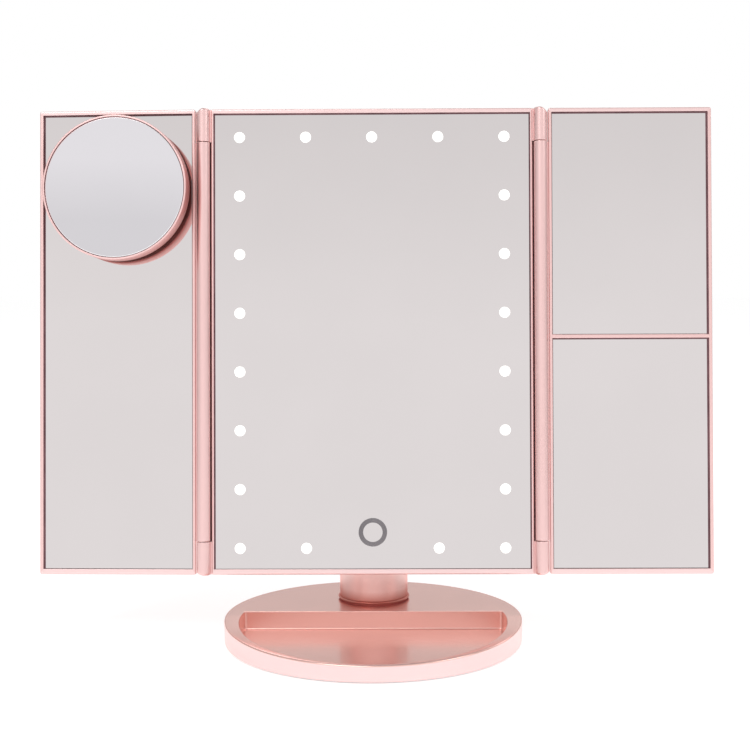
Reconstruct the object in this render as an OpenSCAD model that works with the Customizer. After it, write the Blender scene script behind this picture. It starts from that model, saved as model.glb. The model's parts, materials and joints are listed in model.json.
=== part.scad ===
// Trifold vanity mirror: a centre panel with lights on a tilting neck and a round base,
// two folding wings and a round spot mirror that lifts off the left wing.
// X runs to the viewer's right, the mirrors face -Y, Z is up, and the origin lies
// under the middle of the base.

/* [Centre panel] */
// Width of the centre panel
panel_w = 165.8; // [120:0.2:260]
// Height of the centre panel and the wings
panel_h = 240; // [215:1:360]
// Depth of the front frame
frame_d = 9; // [7:0.5:14]
// Depth of the rear cover
cover_d = 5; // [4:0.5:10]
// Wall of the frame and the rear cover
shell_wall = 1.6; // [1.2:0.1:3]
// Width of the frame beside the glass
side_rail = 1.7; // [1.2:0.1:4]
// Width of the frame above the glass
top_rail = 2.3; // [1.5:0.1:6]
// Width of the frame below the glass
bottom_rail = 2.8; // [1.5:0.1:6]
// How far the frame stands proud of the glass
glass_inset = 1; // [0.4:0.1:2]
// Thickness of the centre glass
glass_t = 2; // [1.5:0.1:3]
// Play between a glass and its frame
glass_play = 0.2; // [0.1:0.05:0.5]
// Width of the ledge that carries the glass
ledge_w = 5; // [3:0.5:6]
// Thickness of the ledge
ledge_t = 1.6; // [1:0.1:2.2]
// Rounding of the frame's front edges
edge_r = 0.6; // [0.2:0.1:1]
// Rounding of the rear cover's edges
cover_edge_r = 2.5; // [1:0.1:3.5]
// Rounding of the panel's corners
corner_r = 1; // [0.5:0.1:2]

/* [Lights] */
// Diameter of a light window
light_d = 5.7; // [4:0.1:8]
// Distance from the panel's side to the light columns
light_side = 14.6; // [13:0.1:20]
// Distance from the panel's bottom to the lowest lights
light_bottom = 13.4; // [13:0.1:20]
// Distance from the panel's top to the highest lights
light_top = 14.5; // [13:0.1:20]
// Lights in each column
light_rows = 8; // [4:1:12]
// Thickness of the plate behind the glass
lamp_plate_t = 1.4; // [1:0.1:2]
// Width of one LED
led_w = 3; // [2:0.1:4]
// Width of an LED strip
strip_w = 7; // [5:0.5:8]
// Thickness of an LED strip
strip_t = 1; // [0.6:0.1:1.4]

/* [Touch control] */
// Outer diameter of the touch ring
touch_d = 14.7; // [10:0.1:18]
// Inner diameter of the touch ring
touch_hole_d = 10; // [5:0.1:12]
// Height of the touch ring above the panel's bottom
touch_z = 21.6; // [18:0.1:24]
// Depth of the ring's inlay in the glass
touch_inlay = 0.4; // [0.2:0.1:0.8]
// Thickness of the touch sensor
sensor_t = 1; // [0.6:0.1:1.2]

/* [Wings] */
// Gap between the wings when both are folded in
closing_gap = 0.6; // [0.6:0.1:3]
// How far the line where the folded wings meet lies left of the middle
closing_shift = 1.2; // [0:0.1:2]
// Thickness of a wing
wing_d = 7; // [6.5:0.1:10]
// Width of a wing's frame on its outer side
wing_outer_rail = 2.4; // [1.8:0.1:5]
// Width of a wing's frame on its hinge side
wing_inner_rail = 1.7; // [1.2:0.1:4]
// Thickness of a wing's rear cover
wing_back_t = 1.6; // [1:0.1:2]
// Width of the ledge behind a wing's glass
wing_ledge_w = 4; // [2:0.5:8]
// Width of the bar between the two right glasses
divider_w = 1.9; // [1.2:0.1:5]
// Height of that bar above the panel's bottom
divider_z = 122.1; // [60:0.1:180]

/* [Wing hinges] */
// Diameter of a hinge barrel
barrel_d = 7; // [6:0.1:10]
// Gap between a hinge barrel and the centre frame
barrel_gap = 0.6; // [0.4:0.1:1.5]
// Length of the short end knuckles
end_knuckle_l = 17; // [8:0.5:30]
// How far the end knuckles stand above and below the frame
knuckle_proud = 0.2; // [0.1:0.1:2]
// Gap between the knuckles along the axis
knuckle_gap = 0.3; // [0.3:0.1:1]
// How far the hinge axis lies in front of the frames
axis_proud = 0.3; // [0.3:0.05:1]
// Thickness of the flange behind a barrel
flange_t = 1.2; // [0.8:0.1:2]
// How far that flange reaches out from the centre frame
flange_w = 3; // [1:0.1:3.4]
// Diameter of a hinge pin
pin_d = 2.5; // [1.5:0.1:3.5]
// Length of a hinge pin inside the wing's knuckle
pin_hold = 14; // [6:0.5:30]
// Radial clearance of a running fit
running_play = 0.05; // [0.03:0.01:0.08]

/* [Spot mirror] */
// Diameter of the spot mirror's housing
spot_d = 73.7; // [50:0.1:74]
// Thickness of the spot mirror's housing
spot_t = 14; // [7:0.1:15]
// Width of the rim round the spot glass
spot_rim = 1.05; // [0.8:0.05:2]
// Thickness of the spot glass at its edge
spot_glass_t = 3; // [2.8:0.1:4]
// Radius of the hollow in the spot glass
spot_curve_r = 300; // [280:10:900]
// Height of the spot mirror's centre above the panel's bottom
spot_z = 198.1; // [50:0.1:199]
// How far the spot mirror sits from its glass's middle, towards the hinge
spot_shift = 1.6; // [0:0.1:2]
// Gap between the wing's glass and the middle of the housing
spot_standoff = 4; // [2.2:0.1:5]
// How far the housing leans on its cup
spot_lean = 0; // [0:0.1:2.5]
// Diameter of the suction cup
cup_d = 26; // [15:0.5:28]
// Thickness of the suction cup
cup_t = 1.5; // [1.2:0.1:1.6]
// Diameter of the suction cup's stem
cup_stem_d = 9; // [6:0.5:12]

/* [Tilt hinge] */
// Distance from the panel's rear cover to the tilt axis
tilt_reach = 23.5; // [23:0.5:32]
// Height of the tilt axis above the panel's bottom
tilt_height = 17.7; // [17:0.1:18.5]
// Radius of the ears and the tongue
ear_r = 11; // [8:0.5:12]
// Thickness of an ear
ear_t = 5.5; // [4:0.1:6]
// Diameter of the axle
axle_d = 6; // [4:0.1:8]
// Diameter of the axle's head and nut
axle_head_d = 11; // [9:0.1:13]
// Thickness of the axle's head and nut
axle_head_t = 1.6; // [1:0.1:3]
// Thickness of a friction washer
washer_t = 0.8; // [0.5:0.1:1.5]
// Gap between a washer and the tongue
washer_gap = 0.1; // [0.05:0.01:0.2]
// Thickness of the bracket's plate
bracket_t = 3; // [2.5:0.1:5]
// Width of the bracket's plate
bracket_w = 48; // [46:1:60]

/* [Neck] */
// Diameter of the neck
neck_d = 36.3; // [34:0.1:40]
// Distance from the base's back edge to the neck's middle
neck_inset = 38; // [34:0.5:40]
// Height of the neck above the collar
neck_h = 17.7; // [14:0.1:40]
// Distance from the neck's top up to the tilt axis
axis_rise = 15; // [15:0.5:25]
// Width of the tongue that the ears hold
tongue_w = 17; // [12:0.5:18]
// Diameter of the collar
collar_d = 38.2; // [38:0.1:46]
// Height of the collar
collar_t = 2; // [1:0.1:4]
// Rounding of the neck's top edge
neck_edge_r = 1.5; // [0.5:0.1:2.5]
// Radius of the neck's hollow
neck_bore_r = 10; // [6:0.5:11]
// Solid top above the neck's hollow
neck_top_t = 4; // [3:0.5:8]
// Length of the neck screws inside the neck
neck_screw_l = 8; // [5:0.5:9]

/* [Base] */
// Diameter of the base
base_d = 153; // [146:1:220]
// Height of the base at its centre and back
base_t = 13.3; // [12.5:0.1:20]
// Slope of the base's front half
front_slope = 3.1; // [0:0.1:3.6]
// Height of the shell's lower edge above the table
base_lift = 0.5; // [0.3:0.1:0.8]
// Rounding of the base's lower edge
base_edge_r = 2; // [0.5:0.1:2.5]
// Rounding of the base's upper edge
base_top_r = 0.8; // [0.3:0.1:1.5]
// Wall of the base
base_wall = 2.2; // [1.5:0.1:3]
// Thickness of the base's top
base_top_t = 1.6; // [1.4:0.1:2]
// Thickness of the base's bottom cover
bottom_t = 1.7; // [1.6:0.1:2]
// Distance from the base's centre to the tray's straight back wall
tray_back = 8.7; // [4:0.1:12]
// Width of the rim in front of the tray
tray_front_rim = 2.3; // [2:0.1:6]
// Width of the rim beside the tray
tray_side_rim = 9; // [5:0.5:12]
// Height of the tray's floor above the table
tray_floor = 3.8; // [3.6:0.1:5]
// Rounding of the tray's corners
tray_corner_r = 1.5; // [1:0.1:5]
// Size of the cove under the tray's back wall
tray_cove = 1.8; // [0.5:0.1:2]
// Diameter of the non-slip pad
pad_d = 100; // [60:1:110]
// Thickness of the non-slip pad
pad_t = 1; // [0.9:0.1:1.4]
// Thickness of the base weight
weight_t = 5.5; // [3:0.1:5.8]

/* [Cells] */
// Diameter of a cell
cell_d = 10.5; // [10:0.1:10.5]
// Length of a cell
cell_l = 44.5; // [40:0.1:50]
// Number of cells side by side
cell_count = 4; // [2:1:4]
// Gap between two cells
cell_gap = 0.8; // [0.6:0.1:2]
// Room for the spring at the end of a cell
spring_l = 4.6; // [3:0.1:8]
// Turns of a cell spring
spring_turns = 3.5; // [2:0.5:5]
// Radius of a cell spring at its contact
spring_foot_r = 3.2; // [2.4:0.1:3.6]
// Radius of a cell spring at its cell
spring_tip_r = 1.6; // [1:0.1:2]
// Wire of a cell spring
spring_wire = 0.6; // [0.4:0.1:0.8]
// Thickness of a contact
contact_t = 0.4; // [0.3:0.1:0.6]
// Height of the cell tray above the panel's bottom
tray_z = 62; // [60:1:80]
// Wall of the cell tray
cell_wall = 1.2; // [1:0.1:2]
// Thickness of the cell door
door_t = 1.6; // [1.4:0.1:2.5]
// Width of the door's side tongues
door_tongue = 1; // [0.6:0.1:1.6]
// Sliding play of the door
door_play = 0.3; // [0.3:0.05:0.5]
// Width of the rails beside the door
rail_w = 3; // [2.5:0.1:5]

/* [Electronics] */
// Width of the control board
board_w = 116; // [112:1:130]
// Height of the control board
board_h = 16; // [14:0.5:18]
// Thickness of the control board
board_t = 1.2; // [1:0.1:1.6]
// Height of the control board's middle above the panel's bottom
board_z = 38; // [38:0.5:44]
// Distance from the panel's middle to the switch and to the inlet
port_x = 48; // [44:0.5:50]
// Width of the switch's knob
knob_w = 3.6; // [3:0.1:5]
// Height of the switch's knob
knob_h = 3; // [2.4:0.1:3.6]
// Travel of the switch
switch_travel = 3; // [2:0.1:4]
// How far the knob stands out of the rear cover
knob_proud = 1.2; // [0.5:0.1:3]
// Width of the charging inlet
inlet_w = 7.5; // [7:0.1:9]
// Height of the charging inlet
inlet_h = 2.6; // [2.4:0.1:3.4]

/* [Screws] */
// Diameter of a screw's shank
screw_d = 2; // [1.6:0.1:2.4]
// Diameter of a screw's head
screw_head_d = 4.2; // [3.6:0.1:4.6]
// Height of a screw's head
screw_head_t = 1.2; // [0.8:0.1:1.4]
// Length of a screw's shank
screw_l = 5; // [4:0.5:5.5]

/* [Rest pose] */
// How far the panel leans back
panel_lean = 7; // [0:0.5:12]
// How far the left wing is turned back past flat
left_turn = 3; // [0:0.5:8]
// How far the right wing is turned back past flat
right_turn = 0; // [0:0.5:8]

/* [Hidden] */

$fn = 96;
over = 1;             // how far a cut runs past a face
fine = 0.02;          // play of pieces that are fixed in each other
tip_gap = 0.5;        // room beyond the tip of a screw or a pin

paint = [0.89, 0.70, 0.67];
mirror_grey = [0.82, 0.81, 0.80];
white = [0.97, 0.97, 0.95];
black = [0.13, 0.13, 0.14];
steel = [0.72, 0.72, 0.74];
board_green = [0.16, 0.42, 0.27];
rubber = [0.25, 0.24, 0.25];
foam = [0.30, 0.30, 0.31];

// depths in the centre panel, measured back from the frame's front face
glass_back = glass_inset + glass_t;
plate_back = glass_back + lamp_plate_t;
ledge_back = plate_back + ledge_t;
panel_d = frame_d + cover_d;
cover_inner = panel_d - shell_wall;
glass_w = panel_w - 2 * side_rail;

// lights, seen from the front as [x, z] in the panel
light_x = panel_w / 2 - light_side;
light_high = panel_h - light_top;
light_pitch = (light_high - light_bottom) / (light_rows - 1);
light_spots = concat(
    [for (side = [-1, 1]) for (row = [0 : light_rows - 1])
        [side * light_x, light_bottom + row * light_pitch]],
    [for (column = [-1 : 1]) [column * light_x / 2, light_high]],
    [for (side = [-1, 1]) [side * light_x / 2, light_bottom]]);
led_hole_d = light_d + 0.8;
led_t = lamp_plate_t - 0.3;
strip_end = led_w / 2 + 3;
sensor_d = touch_d + 1.8;

// hinge lines of the wings
barrel_r = barrel_d / 2;
hinge_x = panel_w / 2 + barrel_gap + barrel_r;
hinge_web = barrel_gap + barrel_r;
pin_r = pin_d / 2;
pin_bore_r = pin_r + running_play;
pin_low = tip_gap;
pin_high = end_knuckle_l + pin_hold;
flange_y = barrel_r - axis_proud + 0.5;

// wings, measured from the hinge axis outwards
wing_in = hinge_web;
left_out = hinge_x - closing_shift - closing_gap / 2;
right_out = hinge_x + closing_shift - closing_gap / 2;
wing_glass_in = wing_in + wing_inner_rail;
wing_back_y = wing_d - wing_back_t;
rim_in = wing_in + shell_wall;

// tilt hinge
axis_depth = panel_d + tilt_reach;
neck_y = base_d / 2 - neck_inset;
axis_y = neck_y;
neck_foot = base_t + collar_t;
neck_top = neck_foot + neck_h;
axis_z = neck_top + axis_rise;
washer_in = tongue_w / 2 + washer_gap;
ear_in = washer_in + washer_t;
ear_out = ear_in + ear_t;
axle_r = axle_d / 2;
washer_r = ear_r - 2;
bracket_foot = tilt_height - ear_r + 1;
bracket_head = tilt_height + ear_r + 1;
bracket_screw_x = (ear_out + bracket_w / 2) / 2;
bracket_screw_z = [bracket_foot + 5, bracket_head - 4];

// cells and their door
cell_pitch = cell_d + cell_gap;
cells_w = cell_count * cell_pitch;
cells_l = cell_l + spring_l + 2 * contact_t;
tray_front = glass_back + 0.3;
tray_inner = tray_front + 1;
cell_y = tray_inner + 0.2 + cell_d / 2;
door_front = cell_y + cell_d / 2 + 0.3;
door_back = door_front + door_t;
tray_back_edge = door_front - 0.2;
tray_half = cells_w / 2 + cell_wall;
tray_low = tray_z - cell_wall;
tray_high = tray_z + cells_l + cell_wall;
door_half = tray_half + 1;
door_low = tray_low - 2;
door_high = tray_high + 5;
tongue_y = door_front + 0.3;
tongue_t = 0.7;
hump_half = door_half + door_play + rail_w;
hump_low = bracket_head + 1;

// control board and ports
board_front = 7;
board_back = board_front + board_t;
knob_front = cover_inner + 0.2;
knob_back = panel_d + knob_proud;
switch_w = knob_w + switch_travel + 3;
switch_h = knob_h + 2.4;
switch_top = cover_inner - 0.1;
slot_play = 0.4;
foot_w = knob_w - 1.4;
foot_h = knob_h - 1.2;
board_posts = [for (side = [-1, 1]) for (row = [-1, 1]) [side * port_x / 1.6, board_z + row * 5]];

// base
base_r = base_d / 2;
tray_half_w = sqrt(pow(base_r, 2) - pow(tray_back, 2)) - tray_side_rim;
tray_tip = base_r - tray_front_rim;
tray_cy = (pow(tray_half_w, 2) + pow(tray_back, 2) - pow(tray_tip, 2)) / (2 * (tray_tip + tray_back));
tray_r = tray_tip + tray_cy;
bottom_high = base_lift + bottom_t;
cavity_r = base_r - base_wall;
cavity_front = tray_back + base_wall;
pad_recess = pad_t - base_lift;
screw_boss_r = 4.2;
base_screw_spots = [[-(cavity_r - 16), 30], [cavity_r - 16, 30], [0, cavity_r - 7]];
neck_screw_r = (neck_bore_r + neck_d / 2) / 2;
neck_screw_spots = [for (turn = [90, 210, 330])
    [neck_screw_r * cos(turn), neck_y + neck_screw_r * sin(turn)]];

// spot mirror, on the left wing
spot_u = (wing_glass_in + left_out - wing_outer_rail) / 2 - spot_shift;
spot_r = spot_d / 2;
spot_back = glass_inset - spot_standoff;
spot_glass_r = spot_r - spot_rim;
cup_gap = 0.1;

// ---- shapes used by several pieces ----

// Rectangle from the origin with four rounded corners
module rounded_rect(w, h, r) {
    translate([r, 0]) square([w - 2 * r, h]);
    translate([0, r]) square([w, h - 2 * r]);
    for (x = [r, w - r]) for (y = [r, h - r]) translate([x, y]) circle(r);
}

// Rectangle from the origin whose two corners at y = 0 are rounded
module rounded_front(w, d, r) {
    translate([r, 0]) square([w - 2 * r, d]);
    translate([0, r]) square([w, d - r]);
    for (x = [r, w - r]) translate([x, r]) circle(r);
}

// Block from the origin with rounded edges round its front face
module front_block(w, d, h, r, corner) {
    intersection() {
        translate([0, d, 0]) rotate([90, 0, 0]) linear_extrude(d) rounded_rect(w, h, corner);
        linear_extrude(h) rounded_front(w, d, r);
        translate([w, 0, 0]) rotate([0, -90, 0]) linear_extrude(w) rounded_front(h, d, r);
    }
}

// The same block with the rounded edges at its back face
module back_block(w, d, h, r, corner) {
    translate([0, d, 0]) mirror([0, 1, 0]) front_block(w, d, h, r, corner);
}

// Box between two corners
module span(low, high) {
    translate(low) cube(high - low);
}

// Rod or hole along Y
module rod_y(x, z, y_low, y_high, r) {
    translate([x, y_low, z]) rotate([-90, 0, 0]) cylinder(h = y_high - y_low, r = r);
}

// Rod or hole along X
module rod_x(y, z, x_low, x_high, r) {
    translate([x_low, y, z]) rotate([0, 90, 0]) cylinder(h = x_high - x_low, r = r);
}

// Screw with its head at the back, pointing forward; the head's outer face lies at y
module rear_screw(x, z, y, shank = screw_l) {
    difference() {
        union() {
            rod_y(x, z, y - screw_head_t, y, screw_head_d / 2);
            rod_y(x, z, y - screw_head_t - shank, y - screw_head_t, screw_d / 2 - fine);
        }
        for (turn = [0, 90])
            translate([x, y, z]) rotate([0, turn, 0]) cube([screw_head_d * 0.6, 1, 0.7], center = true);
    }
}

// ---- frames of reference ----

// Panel: x from its middle, y back from the front face, z up from the bottom edge
module on_panel() {
    translate([0, axis_y, axis_z]) rotate([-panel_lean, 0, 0])
        translate([0, -axis_depth, -tilt_height]) children();
}

// Right wing: x out from the hinge axis, y back from the wing's face
module on_right_wing() {
    on_panel() translate([hinge_x, -axis_proud, 0]) rotate([0, 0, right_turn])
        translate([0, axis_proud, 0]) children();
}

// Left wing, built as a right one and mirrored
module on_left_wing() {
    on_panel() mirror([1, 0, 0]) translate([hinge_x, -axis_proud, 0]) rotate([0, 0, left_turn])
        translate([0, axis_proud, 0]) children();
}

// Spot mirror: z out from the housing's back towards the viewer
module on_spot() {
    on_left_wing() translate([spot_u, spot_back, spot_z]) rotate([0, 0, -spot_lean])
        rotate([90, 0, 0]) children();
}

// ---- base ----

// Half-moon outline of the tray, grown or shrunk by a margin
module tray_outline(margin = 0) {
    r = tray_r + margin;
    back = tray_back + margin;
    corner = max(tray_corner_r + margin, 0.5);
    corner_x = sqrt(pow(r - corner, 2) - pow(back - corner - tray_cy, 2));
    turn = atan2(back - corner - tray_cy, corner_x);
    intersection() {
        translate([0, tray_cy]) circle(r, $fn = 180);
        translate([-corner_x, tray_cy - r - over]) square([2 * corner_x, back - tray_cy + r + over]);
    }
    intersection() {
        translate([0, tray_cy]) circle(r, $fn = 180);
        translate([-r - over, tray_cy - r - over])
            square([2 * r + 2 * over, back - corner - tray_cy + r + over]);
    }
    for (side = [-1, 1]) translate([side * corner_x, back - corner]) circle(corner);
}

module base_shell() {
    color(paint) difference() {
        rotate_extrude($fn = 180) difference() {
            union() {
                translate([0, base_lift]) square([base_r - base_edge_r, base_t - base_lift]);
                translate([0, base_lift + base_edge_r])
                    square([base_r, base_t - base_lift - base_edge_r - base_top_r]);
                square_top = base_t - base_top_r;
                translate([0, square_top]) square([base_r - base_top_r, base_top_r]);
                translate([base_r - base_edge_r, base_lift + base_edge_r]) circle(base_edge_r);
                translate([base_r - base_top_r, square_top]) circle(base_top_r);
            }
            translate([-2 * base_r, -over]) square([2 * base_r, base_t + 2 * over]);
        }
        // the front half slopes down from the middle
        translate([-base_r - over, 0, base_t]) rotate([180 + front_slope, 0, 0])
            translate([0, 0, -base_t]) cube([2 * base_r + 2 * over, base_r + 10, base_t]);
        // the tray
        translate([0, 0, tray_floor]) linear_extrude(base_t) tray_outline();
        // room for the bottom cover, and the hollow behind the tray
        translate([0, 0, -over]) cylinder(h = bottom_high + over, r = cavity_r);
        intersection() {
            cylinder(h = base_t - base_top_t, r = cavity_r);
            span([-base_r, cavity_front, 0], [base_r, base_r, base_t]);
        }
        for (spot = neck_screw_spots) translate([spot[0], spot[1], 0])
            cylinder(h = base_t + over, r = screw_d / 2 + 0.2);
    }
    // cove along the tray's back wall
    color(paint) translate([-tray_half_w + tray_corner_r, tray_back, tray_floor]) rotate([90, 0, 90])
        linear_extrude(2 * (tray_half_w - tray_corner_r)) difference() {
            translate([-tray_cove, 0]) square([tray_cove, tray_cove]);
            translate([-tray_cove, tray_cove]) circle(tray_cove);
        }
    // screw bosses in the hollow
    color(paint) for (spot = base_screw_spots) translate([spot[0], spot[1], bottom_high + 2])
        difference() {
            cylinder(h = base_t - base_top_t - bottom_high - 2, r = screw_boss_r - 1);
            translate([0, 0, -over]) cylinder(h = screw_l + over, r = screw_d / 2);
        }
}

module base_bottom_cover() {
    color(black) difference() {
        union() {
            translate([0, 0, base_lift]) cylinder(h = bottom_t, r = cavity_r - glass_play, $fn = 180);
            for (spot = base_screw_spots) translate([spot[0], spot[1], base_lift])
                cylinder(h = bottom_t + 2, r = screw_boss_r);
        }
        translate([0, 0, base_lift - over]) cylinder(h = pad_recess + over, r = pad_d / 2 + glass_play);
        for (spot = base_screw_spots) translate([spot[0], spot[1], base_lift - over]) {
            cylinder(h = over + bottom_t + 2 - screw_head_t, r = screw_head_d / 2 + 0.2);
            cylinder(h = over + bottom_t + 2 + over, r = screw_d / 2 + 0.2);
        }
    }
}

module base_weight() {
    color(steel) translate([0, 0, bottom_high]) linear_extrude(weight_t) difference() {
        intersection() {
            circle(cavity_r - 1);
            translate([-base_r, cavity_front + 1]) square([2 * base_r, base_r]);
        }
        for (spot = base_screw_spots) translate(spot) circle(screw_boss_r + 0.6);
    }
}

module base_pad() {
    color(rubber) cylinder(h = pad_t, r = pad_d / 2, $fn = 180);
}

// Screw with its head below, pointing up; the head's outer face lies at z = 0
module up_screw(shank) {
    difference() {
        union() {
            cylinder(h = screw_head_t, r = screw_head_d / 2);
            cylinder(h = screw_head_t + shank, r = screw_d / 2 - fine);
        }
        for (turn = [0, 90]) rotate(turn) cube([screw_head_d * 0.6, 0.7, 1], center = true);
    }
}

module base_screws() {
    color(steel) for (spot = base_screw_spots)
        translate([spot[0], spot[1], bottom_high + 2 - 2 * screw_head_t]) up_screw(screw_l);
}

module neck_collar() {
    color(paint) translate([0, neck_y, base_t]) difference() {
        rotate_extrude() {
            square([collar_d / 2 - 0.4, collar_t]);
            square([collar_d / 2, collar_t - 0.4]);
            translate([collar_d / 2 - 0.4, collar_t - 0.4]) circle(0.4);
        }
        translate([0, 0, -over]) cylinder(h = collar_t + 2 * over, r = neck_bore_r);
        for (spot = neck_screw_spots) translate([spot[0], spot[1] - neck_y, -over])
            cylinder(h = collar_t + 2 * over, r = screw_d / 2 + 0.2);
    }
}

module neck_column() {
    color(paint) difference() {
        union() {
            translate([0, neck_y, neck_foot]) rotate_extrude() {
                square([neck_d / 2 - neck_edge_r, neck_h]);
                square([neck_d / 2, neck_h - neck_edge_r]);
                translate([neck_d / 2 - neck_edge_r, neck_h - neck_edge_r]) circle(neck_edge_r);
            }
            span([-tongue_w / 2, axis_y - ear_r, neck_top - 2], [tongue_w / 2, axis_y + ear_r, axis_z]);
            rod_x(axis_y, axis_z, -tongue_w / 2, tongue_w / 2, ear_r);
        }
        rod_x(axis_y, axis_z, -tongue_w, tongue_w, axle_r + running_play);
        translate([0, neck_y, neck_foot - over]) cylinder(h = neck_h - neck_top_t + over, r = neck_bore_r);
        for (spot = neck_screw_spots) translate([spot[0], spot[1], neck_foot - over])
            cylinder(h = neck_screw_l + over, r = screw_d / 2);
    }
}

module neck_screws() {
    color(steel) for (spot = neck_screw_spots)
        translate([spot[0], spot[1], base_t - base_top_t - screw_head_t])
            up_screw(base_top_t + collar_t + neck_screw_l - tip_gap);
}

// ---- centre panel ----

screw_spots_x = glass_w / 2 - 2.6;
screw_spots = [for (side = [-1, 1]) for (z = [bottom_rail + 6, panel_h / 2, panel_h - top_rail - 6])
    [side * screw_spots_x, z]];

// One hinge end: a short knuckle and its web, at the panel's right, standing up from z = 0
module end_knuckle() {
    rounding = 1.2;
    difference() {
        union() {
            translate([hinge_x, -axis_proud, -knuckle_proud]) rotate_extrude() {
                translate([0, rounding]) square([barrel_r, end_knuckle_l + knuckle_proud - rounding]);
                square([barrel_r - rounding, end_knuckle_l + knuckle_proud]);
                translate([barrel_r - rounding, rounding]) circle(rounding);
            }
            span([panel_w / 2 - side_rail, 0, 0], [hinge_x, barrel_r - axis_proud, end_knuckle_l]);
        }
        translate([hinge_x, -axis_proud, -knuckle_proud - over])
            cylinder(h = end_knuckle_l + knuckle_proud + 2 * over, r = pin_r);
    }
}

module centre_frame() {
    color(paint) on_panel() {
        difference() {
            translate([-panel_w / 2, 0, 0]) front_block(panel_w, frame_d, panel_h, edge_r, corner_r);
            span([-glass_w / 2, -over, bottom_rail], [glass_w / 2, plate_back, panel_h - top_rail]);
            span([-glass_w / 2 + ledge_w, 0, bottom_rail + ledge_w],
                [glass_w / 2 - ledge_w, frame_d + over, panel_h - top_rail - ledge_w]);
            span([-glass_w / 2, ledge_back, bottom_rail],
                [glass_w / 2, frame_d + over, panel_h - top_rail]);
        }
        for (spot = screw_spots) difference() {
            rod_y(spot[0], spot[1], ledge_back, frame_d, 2.5);
            rod_y(spot[0], spot[1], ledge_back + 0.4, frame_d + over, screw_d / 2);
        }
        for (side = [0, 1]) mirror([side, 0, 0]) {
            end_knuckle();
            translate([0, 0, panel_h]) mirror([0, 0, 1]) end_knuckle();
            // flange that closes the gap behind the barrel
            span([panel_w / 2 - over, flange_y, 0], [panel_w / 2 + flange_w, flange_y + flange_t, panel_h]);
        }
    }
}

// Sheet that fills the frame's pocket between two depths
module pocket_sheet(y_low, y_high) {
    span([-glass_w / 2 + glass_play, y_low, bottom_rail + glass_play],
        [glass_w / 2 - glass_play, y_high, panel_h - top_rail - glass_play]);
}

module centre_mirror() {
    color(mirror_grey) on_panel() difference() {
        pocket_sheet(glass_inset, glass_back);
        for (spot = light_spots) rod_y(spot[0], spot[1], 0, glass_back + over, light_d / 2);
        difference() {
            rod_y(0, touch_z, 0, glass_inset + touch_inlay, touch_d / 2);
            rod_y(0, touch_z, 0, glass_inset + touch_inlay + over, touch_hole_d / 2);
        }
    }
}

module light_windows() {
    color(white) on_panel() for (spot = light_spots)
        rod_y(spot[0], spot[1], glass_inset, glass_back, light_d / 2 - fine);
}

module touch_ring() {
    color([0.50, 0.49, 0.50]) on_panel() difference() {
        rod_y(0, touch_z, glass_inset, glass_inset + touch_inlay, touch_d / 2 - fine);
        rod_y(0, touch_z, 0, glass_back, touch_hole_d / 2 + fine);
    }
}

module lamp_plate() {
    color(white) on_panel() difference() {
        pocket_sheet(glass_back, plate_back);
        for (spot = light_spots) rod_y(spot[0], spot[1], 0, plate_back + over, led_hole_d / 2);
        rod_y(0, touch_z, 0, plate_back + over, sensor_d / 2 + glass_play);
        span([-tray_half - 1, 0, tray_low - 1], [tray_half + 1, frame_d, tray_high + 1]);
    }
}

module led_strips() {
    side_in = light_x - strip_w / 2 - 0.3;
    color([0.93, 0.93, 0.90]) on_panel() {
        for (side = [-1, 1])
            span([side * light_x - strip_w / 2, plate_back, light_bottom - strip_end],
                [side * light_x + strip_w / 2, plate_back + strip_t, light_high + strip_end]);
        for (z = [light_bottom, light_high])
            span([-side_in, plate_back, z - strip_w / 2], [side_in, plate_back + strip_t, z + strip_w / 2]);
    }
}

module leds() {
    color([0.98, 0.93, 0.55]) on_panel() for (spot = light_spots)
        span([spot[0] - led_w / 2, plate_back - led_t, spot[1] - led_w / 2],
            [spot[0] + led_w / 2, plate_back, spot[1] + led_w / 2]);
}

module touch_sensor() {
    color(board_green) on_panel()
        rod_y(0, touch_z, glass_back, glass_back + sensor_t, sensor_d / 2);
}

module control_board() {
    color(board_green) on_panel() difference() {
        span([-board_w / 2, board_front, board_z - board_h / 2],
            [board_w / 2, board_back, board_z + board_h / 2]);
        for (post = board_posts)
            rod_y(post[0], post[1], board_front - over, board_back + over, screw_d / 2 + 0.2);
    }
}

module board_screws() {
    color(steel) on_panel() for (post = board_posts) {
        rod_y(post[0], post[1], board_front - screw_head_t, board_front, screw_head_d / 2);
        rod_y(post[0], post[1], board_front, board_back + 3, screw_d / 2 - fine);
    }
}

module usb_socket() {
    shell_t = 0.35;
    mouth = panel_d - 0.3;
    color(steel) on_panel() {
        difference() {
            span([port_x - inlet_w / 2, board_back, board_z - inlet_h / 2],
                [port_x + inlet_w / 2, mouth, board_z + inlet_h / 2]);
            span([port_x - inlet_w / 2 + shell_t, board_back + 1, board_z - inlet_h / 2 + shell_t],
                [port_x + inlet_w / 2 - shell_t, mouth + over, board_z + inlet_h / 2 - shell_t]);
        }
        span([port_x - inlet_w / 4, board_back + 1, board_z - 0.3],
            [port_x + inlet_w / 4, mouth - 1, board_z + 0.3]);
    }
}

module switch_body() {
    color(black) on_panel() difference() {
        span([-port_x - switch_w / 2, board_back, board_z - switch_h / 2],
            [-port_x + switch_w / 2, switch_top, board_z + switch_h / 2]);
        slot_half = (foot_w + switch_travel) / 2 + slot_play;
        span([-port_x - slot_half, board_back + 1, board_z - foot_h / 2 - slot_play],
            [-port_x + slot_half, switch_top + over, board_z + foot_h / 2 + slot_play]);
    }
}

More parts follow.
